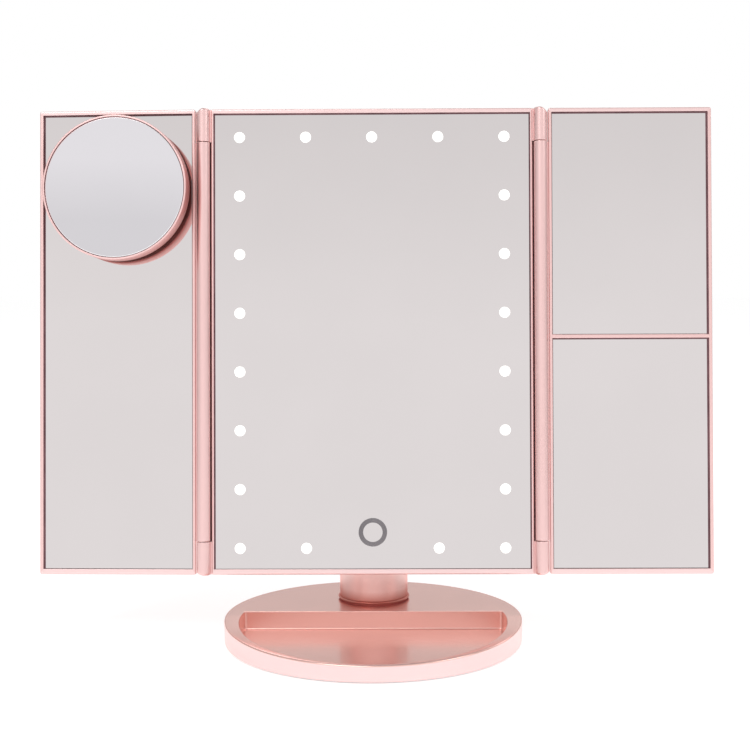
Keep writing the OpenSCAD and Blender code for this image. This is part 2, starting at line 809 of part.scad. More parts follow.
module switch_slider() {
    rest_x = -port_x - switch_travel / 2;
    color(black) on_panel() {
        span([rest_x - foot_w / 2, board_back + 1.4, board_z - foot_h / 2],
            [rest_x + foot_w / 2, knob_front, board_z + foot_h / 2]);
        difference() {
            span([rest_x - knob_w / 2, knob_front, board_z - knob_h / 2],
                [rest_x + knob_w / 2, knob_back, board_z + knob_h / 2]);
            for (groove = [-1 : 1])
                span([rest_x + groove - 0.2, knob_back - 0.3, board_z - knob_h],
                    [rest_x + groove + 0.2, knob_back + over, board_z + knob_h]);
        }
    }
}

module wire_ribbons() {
    ribbon_t = 0.7;
    ribbon_w = 3;
    y = board_front;
    top = board_z + board_h / 2;
    bottom = board_z - board_h / 2;
    strip_y = plate_back + strip_t;
    color([0.75, 0.20, 0.18]) on_panel() {
        // from the cell tray to the board
        span([8, y, top], [8 + ribbon_w, y + ribbon_t, tray_low]);
        // from the board down to the bottom strip
        span([-30, strip_y, light_bottom - 1], [-30 + ribbon_w, y + ribbon_t, light_bottom]);
        span([-30, y, light_bottom - 1], [-30 + ribbon_w, y + ribbon_t, bottom]);
        // from the touch sensor to the board
        span([-1.5, glass_back + sensor_t, touch_z + 3], [1.5, y + ribbon_t, touch_z + 4]);
        span([-1.5, y, touch_z + 3], [1.5, y + ribbon_t, bottom]);
        // from the bottom strip to the side strips, and on to the top strip
        for (side = [-1, 1]) for (z = [light_bottom, light_high])
            span([side * (light_x - strip_w / 2 - 0.15) - 2, strip_y, z - 1],
                [side * (light_x - strip_w / 2 - 0.15) + 2, strip_y + ribbon_t, z + 1]);
    }
}

// ---- cells ----

// Middle of each cell, from left to right
cell_spots = [for (i = [0 : cell_count - 1]) (i - (cell_count - 1) / 2) * cell_pitch];

module battery_tray() {
    flange = 2;
    rib_end = 8;
    tray_end = tray_z + cells_l;
    color(black) on_panel() difference() {
        union() {
            span([-tray_half, tray_front, tray_low], [tray_half, tray_back_edge, tray_high]);
            span([-tray_half - flange, cover_inner - 1, tray_low - 1],
                [tray_half + flange, cover_inner, tray_high + flange]);
        }
        difference() {
            span([-cells_w / 2, tray_inner, tray_z], [cells_w / 2, tray_back_edge + over, tray_end]);
            // low ribs between the cells
            for (i = [0 : cell_count - 2]) {
                x = (cell_spots[i] + cell_spots[i + 1]) / 2;
                span([x - 0.2, tray_inner - over, tray_z + rib_end],
                    [x + 0.2, tray_inner + 2, tray_end - rib_end]);
            }
        }
    }
}

module battery_contacts() {
    half = cell_d / 2 - 0.8;
    color(steel) on_panel() for (x = cell_spots) for (z = [tray_z, tray_z + cells_l - contact_t])
        span([x - half, cell_y - half, z], [x + half, cell_y + half, z + contact_t]);
}

// Which way a cell's positive end points: up for even ones, down for odd ones
function cell_up(i) = i % 2 == 0;

// Point j of the ring round a tapered helix, at one step along a spring
function ring_point(k, steps, j) = let (
    part = k / steps,
    turn = 360 * spring_turns * part,
    around = 60 * j + 30,
    r = spring_foot_r + (spring_tip_r - spring_foot_r) * part + spring_wire / 2 * cos(around),
    rise = spring_wire / 2 + part * (spring_l - spring_wire) + spring_wire / 2 * sin(around))
    [r * cos(turn), r * sin(turn), rise];

// Tapered spring that stands up from z = 0, a tube of six sides along the helix
module cell_spring() {
    steps = round(spring_turns * 14);
    points = [for (k = [0 : steps]) for (j = [0 : 5]) ring_point(k, steps, j)];
    tube = [for (k = [0 : steps - 1]) for (j = [0 : 5])
        let (a = 6 * k + j, b = 6 * k + (j + 1) % 6) each [[a, b, a + 6], [b, b + 6, a + 6]]];
    caps = [[5, 4, 3, 2, 1, 0], [for (j = [0 : 5]) 6 * steps + j]];
    polyhedron(points, concat(tube, caps));
}

module battery_springs() {
    color(steel) on_panel() for (i = [0 : cell_count - 1]) translate([cell_spots[i], cell_y, 0])
        if (cell_up(i)) translate([0, 0, tray_z + contact_t + fine]) cell_spring();
        else translate([0, 0, tray_z + cells_l - contact_t - fine]) mirror([0, 0, 1]) cell_spring();
}

module batteries() {
    nub = 1;
    nub_r = 2.4;
    color([0.20, 0.20, 0.22]) on_panel() for (i = [0 : cell_count - 1]) {
        low = cell_up(i) ? tray_z + contact_t + spring_l + 2 * fine : tray_z + contact_t;
        translate([cell_spots[i], cell_y, low + (cell_up(i) ? 0 : nub)])
            cylinder(h = cell_l - nub - 2 * fine, r = cell_d / 2);
        translate([cell_spots[i], cell_y, low]) cylinder(h = cell_l - 2 * fine, r = nub_r);
    }
}

// ---- rear cover and door ----

module rear_cover() {
    color(paint) on_panel() difference() {
        union() {
            difference() {
                translate([-panel_w / 2, frame_d, 0])
                    back_block(panel_w, cover_d, panel_h, cover_edge_r, corner_r);
                span([-panel_w / 2 + shell_wall, frame_d - over, shell_wall],
                    [panel_w / 2 - shell_wall, cover_inner, panel_h - shell_wall]);
            }
            // raised middle with the rails of the cell door
            span([-hump_half, cover_inner, hump_low], [hump_half, door_back, door_high]);
            for (spot = screw_spots) rod_y(spot[0], spot[1], frame_d, cover_inner, 2.5);
            for (x = [-bracket_screw_x, bracket_screw_x]) for (z = bracket_screw_z)
                rod_y(x, z, frame_d, cover_inner, 2.5);
            for (post = board_posts) rod_y(post[0], post[1], board_back, cover_inner, 2);
        }
        // hollow of the raised middle below the door
        span([-hump_half + shell_wall, frame_d, hump_low + shell_wall],
            [hump_half - shell_wall, door_back - shell_wall, door_low - shell_wall]);
        // room for the cell tray and the door
        span([-tray_half - 0.1, 0, tray_low - 0.1], [tray_half + 0.1, door_back + over, tray_high + 0.1]);
        span([-door_half - door_play, panel_d, door_low - door_play],
            [door_half + door_play, door_back + over, door_high + over]);
        span([-door_half - door_tongue - door_play, tongue_y - door_play, door_low - door_play],
            [door_half + door_tongue + door_play, tongue_y + tongue_t + door_play, door_high + over]);
        for (spot = screw_spots) {
            rod_y(spot[0], spot[1], 0, panel_d + over, screw_d / 2 + 0.2);
            rod_y(spot[0], spot[1], panel_d - screw_head_t, panel_d + over, screw_head_d / 2 + 0.2);
        }
        for (x = [-bracket_screw_x, bracket_screw_x]) for (z = bracket_screw_z)
            rod_y(x, z, frame_d - over, panel_d + over, screw_d / 2);
        for (post = board_posts) rod_y(post[0], post[1], 0, board_back + 3.2, screw_d / 2);
        // slots of the switch and the inlet
        slot_half = (knob_w + switch_travel) / 2 + slot_play;
        span([-port_x - slot_half, 0, board_z - knob_h / 2 - slot_play],
            [-port_x + slot_half, panel_d + over, board_z + knob_h / 2 + slot_play]);
        span([port_x - inlet_w / 2 - slot_play, 0, board_z - inlet_h / 2 - slot_play],
            [port_x + inlet_w / 2 + slot_play, panel_d + over, board_z + inlet_h / 2 + slot_play]);
    }
}

module rear_cover_screws() {
    color(steel) on_panel() for (spot = screw_spots) rear_screw(spot[0], spot[1], panel_d);
}

module battery_door() {
    grip_z = door_high - 14;
    grip_half = 9;
    tongue_half = door_half + door_tongue;
    color(paint) on_panel() {
        span([-door_half, door_front, door_low], [door_half, door_back, door_high]);
        span([-tongue_half, tongue_y, door_low], [tongue_half, tongue_y + tongue_t, door_high]);
        // end wall that closes the raised middle
        span([-door_half, panel_d + door_play, door_high - shell_wall], [door_half, door_back, door_high]);
        for (rib = [0 : 4])
            rod_x(door_back - 0.3, grip_z + 2 * rib, -grip_half, grip_half, 0.6, $fn = 24);
    }
}

// ---- tilt hinge ----

module tilt_bracket() {
    color(paint) on_panel() difference() {
        union() {
            translate([-bracket_w / 2, panel_d, bracket_foot])
                back_block(bracket_w, bracket_t, bracket_head - bracket_foot, 1, 3);
            for (side = [0, 1]) mirror([side, 0, 0]) {
                rod_x(axis_depth, tilt_height, ear_in, ear_out, ear_r);
                // the arm narrows from the plate to the ear, clear of the neck below it
                translate([ear_in, 0, 0]) rotate([90, 0, 90]) linear_extrude(ear_t) polygon([
                    [panel_d + 1, bracket_head - 1],
                    [axis_depth, tilt_height + ear_r],
                    [axis_depth, bracket_foot],
                    [panel_d + 1, bracket_foot]]);
            }
        }
        rod_x(axis_depth, tilt_height, -ear_out - over, ear_out + over, axle_r + fine);
        plate_face = panel_d + bracket_t;
        for (x = [-bracket_screw_x, bracket_screw_x]) for (z = bracket_screw_z) {
            rod_y(x, z, panel_d - over, plate_face + over, screw_d / 2 + 0.2);
            rod_y(x, z, plate_face - screw_head_t, plate_face + over, screw_head_d / 2 + 0.2);
        }
    }
}

module bracket_screws() {
    color(steel) on_panel() for (x = [-bracket_screw_x, bracket_screw_x]) for (z = bracket_screw_z)
        rear_screw(x, z, panel_d + bracket_t);
}

module tilt_axle() {
    color(steel) on_panel() {
        rod_x(axis_depth, tilt_height, -ear_out - axle_head_t, -ear_out, axle_head_d / 2);
        rod_x(axis_depth, tilt_height, -ear_out, ear_out + axle_head_t + 0.6, axle_r);
    }
}

module axle_nut() {
    color(steel) on_panel() difference() {
        rod_x(axis_depth, tilt_height, ear_out, ear_out + axle_head_t, axle_head_d / 2, $fn = 6);
        rod_x(axis_depth, tilt_height, 0, ear_out + 2 * axle_head_t, axle_r + fine);
    }
}

module friction_washers() {
    color(rubber) on_panel() for (side = [0, 1]) mirror([side, 0, 0]) difference() {
        rod_x(axis_depth, tilt_height, washer_in, ear_in, washer_r);
        rod_x(axis_depth, tilt_height, 0, ear_out, axle_r + fine);
    }
}

// ---- wing hinges ----

// The two pins of the right hinge
module hinge_pins() {
    translate([hinge_x, -axis_proud, pin_low]) cylinder(h = pin_high - pin_low, r = pin_r);
    translate([hinge_x, -axis_proud, panel_h - pin_high]) cylinder(h = pin_high - pin_low, r = pin_r);
}

module right_hinge_pins() {
    color(steel) on_panel() hinge_pins();
}

module left_hinge_pins() {
    color(steel) on_panel() mirror([1, 0, 0]) hinge_pins();
}

// ---- wings ----

// Long knuckle of a wing, bored at both ends for its pins
module long_knuckle() {
    low = end_knuckle_l + knuckle_gap;
    high = panel_h - low;
    difference() {
        union() {
            translate([0, -axis_proud, low]) cylinder(h = high - low, r = barrel_r);
            span([0, 0, low], [wing_in + 0.4, barrel_r - axis_proud, high]);
        }
        bore_l = pin_hold + tip_gap;
        translate([0, -axis_proud, low - over]) cylinder(h = bore_l + over, r = pin_bore_r);
        translate([0, -axis_proud, high - bore_l]) cylinder(h = bore_l + over, r = pin_bore_r);
    }
}

// Openings of a wing's frame, one or two, as [low z, high z]
function wing_openings(divided) = divided
    ? [[bottom_rail, divider_z - divider_w / 2], [divider_z + divider_w / 2, panel_h - top_rail]]
    : [[bottom_rail, panel_h - top_rail]];

// Frame of a wing that reaches out to a given distance from the hinge axis
module wing_frame(out, divided) {
    glass_out = out - wing_outer_rail;
    difference() {
        translate([wing_in, 0, 0]) front_block(out - wing_in, wing_d, panel_h, edge_r, corner_r);
        for (opening = wing_openings(divided)) {
            span([wing_glass_in, -over, opening[0]], [glass_out, glass_back, opening[1]]);
            span([wing_glass_in + wing_ledge_w, 0, opening[0] + wing_ledge_w],
                [glass_out - wing_ledge_w, wing_d + over, opening[1] - wing_ledge_w]);
        }
        span([rim_in, wing_back_y, shell_wall], [out - shell_wall, wing_d + over, panel_h - shell_wall]);
    }
    long_knuckle();
}

// Glass that fills one opening of a wing's frame
module wing_glass(out, opening) {
    span([wing_glass_in + glass_play, glass_inset, opening[0] + glass_play],
        [out - wing_outer_rail - glass_play, glass_back, opening[1] - glass_play]);
}

// Foam pad behind a wing's glass, inside the ledge
module wing_pad(out, opening) {
    inset = wing_ledge_w + glass_play;
    span([wing_glass_in + inset, glass_back, opening[0] + inset],
        [out - wing_outer_rail - inset, wing_back_y, opening[1] - inset]);
}

module wing_back(out) {
    span([rim_in + glass_play, wing_back_y, shell_wall + glass_play],
        [out - shell_wall - glass_play, wing_d, panel_h - shell_wall - glass_play]);
}

module left_wing_frame() {
    color(paint) on_left_wing() wing_frame(left_out, false);
}

module left_wing_mirror() {
    color(mirror_grey) on_left_wing() wing_glass(left_out, wing_openings(false)[0]);
}

module left_wing_pad() {
    color(foam) on_left_wing() wing_pad(left_out, wing_openings(false)[0]);
}

module left_wing_back() {
    color(paint) on_left_wing() wing_back(left_out);
}

module right_wing_frame() {
    color(paint) on_right_wing() wing_frame(right_out, true);
}

module lower_wing_mirror() {
    color(mirror_grey) on_right_wing() wing_glass(right_out, wing_openings(true)[0]);
}

module upper_wing_mirror() {
    color(mirror_grey) on_right_wing() wing_glass(right_out, wing_openings(true)[1]);
}

module right_wing_pads() {
    color(foam) on_right_wing() for (opening = wing_openings(true)) wing_pad(right_out, opening);
}

module right_wing_back() {
    color(paint) on_right_wing() wing_back(right_out);
}

// ---- spot mirror ----

module spot_housing() {
    seat = spot_t - 0.4 - spot_glass_t;
    color(paint) difference() {
        on_spot() rotate_extrude($fn = 120) difference() {
            union() {
                translate([0, 0]) square([spot_r - 2, spot_t]);
                translate([0, 2]) square([spot_r, spot_t - 2 - 0.4]);
                translate([0, 2]) square([spot_r - 0.4, spot_t - 2]);
                translate([spot_r - 2, 2]) circle(2);
                translate([spot_r - 0.4, spot_t - 0.4]) circle(0.4);
            }
            translate([-spot_r, -over]) square([spot_r, spot_t + 2 * over]);
            // seat of the glass, and the hollow behind it round the cup's boss
            translate([0, seat]) square([spot_glass_r + fine, spot_glass_t + over]);
            translate([cup_stem_d / 2 + 2, shell_wall])
                square([spot_glass_r - 2 - cup_stem_d / 2 - 2, seat - shell_wall + over]);
        }
        cup_stem(fine);
    }
}

// Stem of the suction cup, grown by a margin
module cup_stem(margin = 0) {
    cup_top = glass_inset - cup_gap - cup_t;
    on_left_wing() rod_y(spot_u, spot_z, spot_back - 3, cup_top + 0.3, cup_stem_d / 2 + margin);
}

module spot_glass() {
    color(mirror_grey) on_spot() translate([0, 0, spot_t - 0.4 - spot_glass_t])
        rotate_extrude($fn = 120) difference() {
            square([spot_glass_r, spot_glass_t]);
            centre = sqrt(pow(spot_curve_r, 2) - pow(spot_glass_r, 2));
            translate([0, spot_glass_t + centre]) circle(spot_curve_r, $fn = 720);
        }
}

module suction_cup() {
    color(rubber) {
        on_left_wing() translate([spot_u, glass_inset - cup_gap, spot_z]) rotate([90, 0, 0])
            rotate_extrude() polygon([[0, 0.5], [cup_d / 2 - 2, 0.3], [cup_d / 2 - 1.2, 0],
                [cup_d / 2, 0], [cup_d / 2, 0.4], [cup_stem_d / 2 + 1, cup_t], [0, cup_t]]);
        cup_stem();
    }
}

base_shell();
base_bottom_cover();
base_weight();
base_pad();
base_screws();
neck_collar();
neck_column();
neck_screws();
centre_frame();
centre_mirror();
light_windows();
touch_ring();
lamp_plate();
led_strips();
leds();
touch_sensor();
control_board();
board_screws();
usb_socket();
switch_body();
wire_ribbons();
battery_tray();
battery_contacts();
battery_springs();
batteries();
rear_cover();
rear_cover_screws();
tilt_bracket();
bracket_screws();
tilt_axle();
axle_nut();
friction_washers();
left_hinge_pins();
right_hinge_pins();
switch_slider();
battery_door();
left_wing_frame();
left_wing_mirror();
left_wing_pad();
left_wing_back();
right_wing_frame();
upper_wing_mirror();
lower_wing_mirror();
right_wing_pads();
right_wing_back();
spot_housing();
spot_glass();
suction_cup();
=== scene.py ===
import json
import math
import bmesh
import bpy
from mathutils import Matrix, Vector

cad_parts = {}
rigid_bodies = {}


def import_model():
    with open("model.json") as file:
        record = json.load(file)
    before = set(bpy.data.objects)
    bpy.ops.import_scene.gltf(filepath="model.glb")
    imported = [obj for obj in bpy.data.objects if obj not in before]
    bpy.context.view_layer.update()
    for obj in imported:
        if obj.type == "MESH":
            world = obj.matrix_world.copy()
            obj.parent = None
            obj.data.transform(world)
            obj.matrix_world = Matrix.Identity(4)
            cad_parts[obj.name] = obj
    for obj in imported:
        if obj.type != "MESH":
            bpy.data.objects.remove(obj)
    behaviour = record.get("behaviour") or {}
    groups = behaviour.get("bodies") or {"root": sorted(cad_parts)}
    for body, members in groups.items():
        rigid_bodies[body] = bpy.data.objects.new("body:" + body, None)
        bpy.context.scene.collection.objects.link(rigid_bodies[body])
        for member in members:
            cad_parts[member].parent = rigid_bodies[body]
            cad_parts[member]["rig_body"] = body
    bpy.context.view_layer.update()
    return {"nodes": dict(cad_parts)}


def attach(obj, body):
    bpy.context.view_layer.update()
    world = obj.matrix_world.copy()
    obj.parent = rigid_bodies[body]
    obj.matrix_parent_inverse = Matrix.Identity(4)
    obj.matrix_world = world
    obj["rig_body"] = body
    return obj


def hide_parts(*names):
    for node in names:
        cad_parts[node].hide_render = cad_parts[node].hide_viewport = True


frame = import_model()
mm = 0.001
print("frame loaded:", len(frame["nodes"]), "nodes")


# an output socket that works in Python expressions
class Wire:
    def __init__(self, recipe, socket):
        self.recipe, self.socket = recipe, socket

    def maths(self, operation, a, b):
        return self.recipe.add("ShaderNodeMath", {"operation": operation}, {0: a, 1: b})

    def __add__(self, other):
        return self.maths("ADD", self, other)

    def __rsub__(self, other):
        return self.maths("SUBTRACT", other, self)

    def __mul__(self, other):
        return self.maths("MULTIPLY", self, other)


class Recipe:
    def __init__(self, owner):  # a new material's name, or a world
        self.material = bpy.data.materials.new(owner) if isinstance(owner, str) else owner
        self.material.use_nodes = True
        self.tree = self.material.node_tree
        self.tree.nodes.clear()

    def add(self, kind, settings=None, sockets=None, out=0):
        node = self.tree.nodes.new(kind)
        for key, value in (settings or {}).items():  # settings come before sockets
            setattr(node, key, value)
        for key, value in (sockets or {}).items():
            if isinstance(value, Wire):
                self.tree.links.new(value.socket, node.inputs[key])
            else:
                node.inputs[key].default_value = value
        return Wire(self, node.outputs[out]) if len(node.outputs) else None

    def place(self):
        return self.add("ShaderNodeTexCoord", out=3)

    def noise(self, size, detail):  # size is one cell of the pattern, in mm
        return self.add("ShaderNodeTexNoise", None,
                        {"Vector": self.place(), "Scale": 1 / (size * mm), "Detail": detail})

    def spread(self, value, low, high, start=0.35, end=0.65):
        return self.add("ShaderNodeMapRange", {"clamp": True},
                        {0: value, 1: start, 2: end, 3: low, 4: high})

    def blend(self, factor, a, b):
        return self.add("ShaderNodeMix", {"data_type": "RGBA"}, {0: factor, 6: a, 7: b}, out=2)

    def bump(self, height, depth, strength):  # depth in mm
        return self.add("ShaderNodeBump", None,
                        {"Strength": strength, "Distance": depth * mm, "Height": height})

    def finish(self, **sockets):
        named = {key.replace("_", " "): value for key, value in sockets.items()}
        shader = self.add("ShaderNodeBsdfPrincipled", None, named)
        self.add("ShaderNodeOutputMaterial", None, {"Surface": shader})
        return self.material


def rgb(r, g, b):  # the eye's 0-255 values to linear ones
    def one(v):
        v /= 255
        return v / 12.92 if v <= 0.04045 else ((v + 0.055) / 1.055) ** 2.4
    return (one(r), one(g), one(b), 1.0)


# materials
def pearlPaint(name, deep, pale, roughness=0.3, paintedShade=None, edge=(1, 0.93, 0.91, 1)):
    look = Recipe(name)
    drift = look.noise(60, 2)            # slow drift of the spray coat
    grain = look.noise(0.3, 1)           # mica flakes
    orange = look.noise(2.4, 1)          # faint orange peel of the lacquer
    tone = look.spread(drift, 0.42, 0.58) + look.spread(grain, -0.05, 0.05, 0.25, 0.75)
    colour = look.blend(tone, deep, pale)
    if paintedShade:  # painted shade: the colour goes darker towards one edge, from where it is deepest to where it ends, in mm
        direction, deepest, ends, shade = paintedShade
        along = look.add("ShaderNodeVectorMath", {"operation": "DOT_PRODUCT"},
                         {0: look.place(), 1: direction}, out=1)
        colour = look.blend(look.spread(along, 1, 0, deepest * mm, ends * mm), colour, shade)
    rough = look.spread(look.noise(18, 2), roughness - 0.012, roughness + 0.012)
    shine = look.spread(grain, 0.86, 0.9, 0.3, 0.7)
    return look.finish(Base_Color=colour, Metallic=shine, Roughness=rough, IOR=1.5,
                       Specular_Tint=edge, Coat_Weight=0.2, Coat_Roughness=0.12,
                       Normal=look.bump(orange, 0.002, 0.4))


def silvered(name, colour, roughness=0.018):
    look = Recipe(name)
    brighter = tuple(v * 1.015 for v in colour[:3]) + (1,)
    tint = look.blend(look.spread(look.noise(55, 3), 0.0, 1.0), colour, brighter)
    return look.finish(Base_Color=tint, Metallic=1.0,
                       Roughness=look.spread(look.noise(20, 4), roughness * 0.8, roughness * 1.3))


def moulded(name, deep, pale, roughness=0.45, grain=0.5, depth=0.015, **extra):
    look = Recipe(name)
    fine = look.noise(grain, 3)
    colour = look.blend(look.spread(look.noise(14, 3), 0, 1), deep, pale)
    rough = look.spread(fine, roughness - 0.06, roughness + 0.08)
    return look.finish(Base_Color=colour, Roughness=rough, Normal=look.bump(fine, depth, 0.6),
                       **extra)


def metalPart(name, colour, roughness=0.28):
    look = Recipe(name)
    streak = look.add("ShaderNodeMapping", None, {"Vector": look.place(), "Scale": (1, 1, 14)})
    brushed = look.add("ShaderNodeTexNoise", None, {"Vector": streak, "Scale": 900, "Detail": 3})
    pale = tuple(min(1, v * 1.18) for v in colour[:3]) + (1,)
    return look.finish(Base_Color=look.blend(brushed, colour, pale), Metallic=1.0,
                       Roughness=look.spread(brushed, roughness - 0.07, roughness + 0.1),
                       Normal=look.bump(brushed, 0.004, 0.4))


def litWindow(name):
    look = Recipe(name)
    frost = look.noise(0.5, 3)
    colour = look.blend(look.spread(frost, 0, 1), rgb(250, 250, 247), rgb(254, 254, 252))
    return look.finish(Base_Color=colour, Roughness=0.5, Emission_Color=colour,
                       Emission_Strength=0.55, Normal=look.bump(frost, 0.01, 0.4))


roseDeep, rosePale = rgb(240, 200, 197), rgb(248, 210, 208)
redEdge = (1, 0.62, 0.58, 1)  # tint of the sheen where the paint is seen edge on
rosePaint = pearlPaint("rosePaint", roseDeep, rosePale)
basePaint = pearlPaint("basePaint", rgb(243, 199, 190), rgb(250, 209, 201), 0.23)
# a paler, less red copy of the rose paint: a painted highlight on the base's outer wall and the rail
# fronts
highlightPaint = pearlPaint("highlightPaint", rgb(245, 212, 210), rgb(251, 222, 221))
# the neck's paint turns a darker rose below 20.5 mm up and is wholly dark below 15.3 mm, over the
# collar: painted shade at the neck's foot
neckPaint = pearlPaint("neckPaint", rgb(247, 214, 209), rgb(253, 224, 220), 0.3,
                       ((0, 0, 1), 15.3, 20.5, rgb(206, 140, 129)), redEdge)
mirrorSilver = silvered("mirrorSilver", rgb(221, 215, 215))
spotSilver = silvered("spotSilver", rgb(225, 222, 226))
windowFrost = litWindow("windowFrost")
# paler than the mirror's silver, a painted highlight along the real bevel of the spot glass
bevelHighlightSilver = silvered("bevelHighlightSilver", rgb(240, 238, 241), 0.2)
grooveShade = moulded("grooveShade", rgb(96, 60, 66), rgb(122, 84, 90), 0.5, 0.5, 0.01)
seamShade = moulded("seamShade", rgb(184, 92, 84), rgb(198, 104, 95), 0.5, 0.5, 0.01)
backEdgeShade = moulded("backEdgeShade", rgb(112, 46, 40), rgb(130, 58, 50), 0.5, 0.5, 0.01)
touchInk = moulded("touchInk", rgb(122, 118, 122), rgb(134, 130, 134), 0.4, 0.4, 0.004)
blackPlastic = moulded("blackPlastic", rgb(26, 26, 28), rgb(38, 38, 40), 0.42)
whitePlastic = moulded("whitePlastic", rgb(232, 231, 226), rgb(242, 241, 237), 0.42)
boardGreen = moulded("boardGreen", rgb(18, 84, 48), rgb(28, 102, 58), 0.3, 1.5, 0.01)
lampPhosphor = moulded("lampPhosphor", rgb(244, 226, 120), rgb(250, 236, 150), 0.35, 0.3, 0.01)
cellSleeve = moulded("cellSleeve", rgb(28, 30, 36), rgb(40, 42, 50), 0.25, 2.0, 0.004)
wireSheath = moulded("wireSheath", rgb(150, 34, 30), rgb(172, 46, 40), 0.4, 0.6, 0.006)
padFoam = moulded("padFoam", rgb(40, 40, 42), rgb(58, 58, 60), 0.9, 0.7, 0.08)
softRubber = moulded("softRubber", rgb(30, 30, 31), rgb(44, 44, 45), 0.75, 0.5, 0.03)
clearRubber = moulded("clearRubber", rgb(206, 200, 196), rgb(222, 217, 214), 0.22, 1.2, 0.006,
                      Transmission_Weight=0.55)
steelPart = metalPart("steelPart", rgb(176, 176, 180))

nodeLooks = {
    basePaint: ["base_shell"],
    neckPaint: ["neck_column", "neck_collar"],
    rosePaint: ["centre_frame", "rear_cover", "tilt_bracket", "battery_door", "left_wing_frame",
                "left_wing_back", "right_wing_frame", "right_wing_back", "spot_housing"],
    mirrorSilver: ["centre_mirror", "left_wing_mirror", "upper_wing_mirror", "lower_wing_mirror"],
    spotSilver: ["spot_glass"],
    windowFrost: ["light_windows"],
    touchInk: ["touch_ring"],
    blackPlastic: ["base_bottom_cover", "switch_body", "battery_tray", "switch_slider"],
    whitePlastic: ["lamp_plate", "led_strips"],
    boardGreen: ["touch_sensor", "control_board"],
    lampPhosphor: ["leds"],
    cellSleeve: ["batteries"],
    wireSheath: ["wire_ribbons"],
    padFoam: ["left_wing_pad", "right_wing_pads"],
    softRubber: ["base_pad", "friction_washers"],
    clearRubber: ["suction_cup"],
    steelPart: ["base_weight", "base_screws", "neck_screws", "board_screws", "usb_socket",
                "battery_contacts", "battery_springs", "rear_cover_screws", "bracket_screws",
                "tilt_axle", "axle_nut", "left_hinge_pins", "right_hinge_pins"],
}
for look, names in nodeLooks.items():
    for name in names:
        mesh = frame["nodes"][name].data
        mesh.materials.clear()
        mesh.materials.append(look)
print("materials:", len(nodeLooks))


# sizes of the panel's tilt and of its wings, in mm and degrees
panel = {"lean": 7, "axisY": 38.5, "axisZ": 48, "axisDepth": 37.5, "tiltHeight": 17.7,
         "width": 165.8, "height": 240, "hingeX": 87.0, "axisProud": 0.3,
         "leftTurn": 3, "rightTurn": 0}


def panelPlace():  # x from the panel's middle, y back from its face, z up from its bottom edge
    return (Matrix.Scale(mm, 4) @ Matrix.Translation((0, panel["axisY"], panel["axisZ"]))
            @ Matrix.Rotation(math.radians(-panel["lean"]), 4, "X")
            @ Matrix.Translation((0, -panel["axisDepth"], -panel["tiltHeight"])))


def wingPlace(side):  # the left wing is a right one, mirrored
    turn = panel["rightTurn"] if side > 0 else panel["leftTurn"]
    return (panelPlace() @ Matrix.Diagonal((side, 1, 1, 1))
            @ Matrix.Translation((panel["hingeX"], -panel["axisProud"], 0))
            @ Matrix.Rotation(math.radians(turn), 4, "Z")
            @ Matrix.Translation((0, panel["axisProud"], 0)))


def standIn(name, mesh, node, looks):  # a finished mesh in a node's place, on its body
    body = frame["nodes"][node]["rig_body"]
    piece = bpy.data.objects.new(name, mesh)
    bpy.context.scene.collection.objects.link(piece)
    for look in looks:
        mesh.materials.append(look)
    even = piece.modifiers.new("evenShade", "WEIGHTED_NORMAL")  # flat faces stay flat
    even.keep_sharp = True
    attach(piece, body)
    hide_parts(node)


def shaded(shape, name, place=None, sharp=38, merge=0.003):  # bmesh to a shaded mesh in place
    if place is not None:
        bmesh.ops.transform(shape, matrix=place, verts=shape.verts)
    bmesh.ops.remove_doubles(shape, verts=shape.verts, dist=merge * mm)
    bmesh.ops.recalc_face_normals(shape, faces=shape.faces)
    for face in shape.faces:
        face.smooth = True
    for line in shape.edges:
        folds = len(line.link_faces) == 2 and line.calc_face_angle(0) > math.radians(sharp)
        line.smooth = not folds
    mesh = bpy.data.meshes.new(name)
    shape.to_mesh(mesh)
    shape.free()
    return mesh


# shapes, in mm
def skin(shape, rings, around=False, ends=False, looks=0):  # faces between rings of equal length
    loops = [[shape.verts.new(point) for point in ring] for ring in rings]
    pairs = list(zip(loops, loops[1:])) + ([(loops[-1], loops[0])] if around else [])
    for band, (one, two) in enumerate(pairs):
        for i in range(len(one)):
            j = (i + 1) % len(one)
            face = shape.faces.new((one[i], one[j], two[j], two[i]))
            face.material_index = looks[band] if isinstance(looks, list) else looks
    if ends:
        for loop in (loops[0], loops[-1]):
            shape.faces.new(loop)
    return loops


def arc(a, b, radius, start, end, steps=4):  # points on a rounding, angles in degrees
    turns = [math.radians(start + (end - start) * k / steps) for k in range(steps + 1)]
    return [(a + radius * math.cos(turn), b + radius * math.sin(turn)) for turn in turns]


def boxRing(box, y, radius):  # rounded rectangle (left, right, low, high) at a depth
    left, right, low, high = box
    corners = ((right - radius, high - radius, 0), (left + radius, high - radius, 90),
               (left + radius, low + radius, 180), (right - radius, low + radius, 270))
    return [Vector((x, y, z)) for cx, cz, start in corners
            for x, z in arc(cx, cz, radius, start, start + 90)]


def grown(box, sides):  # box with its left, right, low and high sides moved outwards
    return (box[0] - sides[0], box[1] + sides[1], box[2] - sides[2], box[3] + sides[3])


def block(shape, low, high, ease, front=0):  # eased box, front is its front face's look
    size, middle = Vector(high) - Vector(low), (Vector(high) + Vector(low)) / 2
    before = set(shape.faces)
    made = bmesh.ops.create_cube(shape, size=1)["verts"]
    for vert in made:
        vert.co = Vector(a * b for a, b in zip(vert.co, size)) + middle
    lines = list({line for vert in made for line in vert.link_edges})
    bmesh.ops.bevel(shape, geom=lines, offset=ease, segments=2, profile=0.5, affect="EDGES")
    for face in set(shape.faces) - before:
        face.normal_update()
        face.material_index = front if face.normal.y < -0.5 else 0


def turned(shape, profile, steps, place=Matrix(), around=False, looks=0):  # lathe about local z
    turns = [math.tau * i / steps for i in range(steps)]
    rings = [[place @ Vector((radius * math.cos(turn), radius * math.sin(turn), height))
              for turn in turns] for radius, height in profile]
    return skin(shape, rings, around=around, ends=not around, looks=looks)


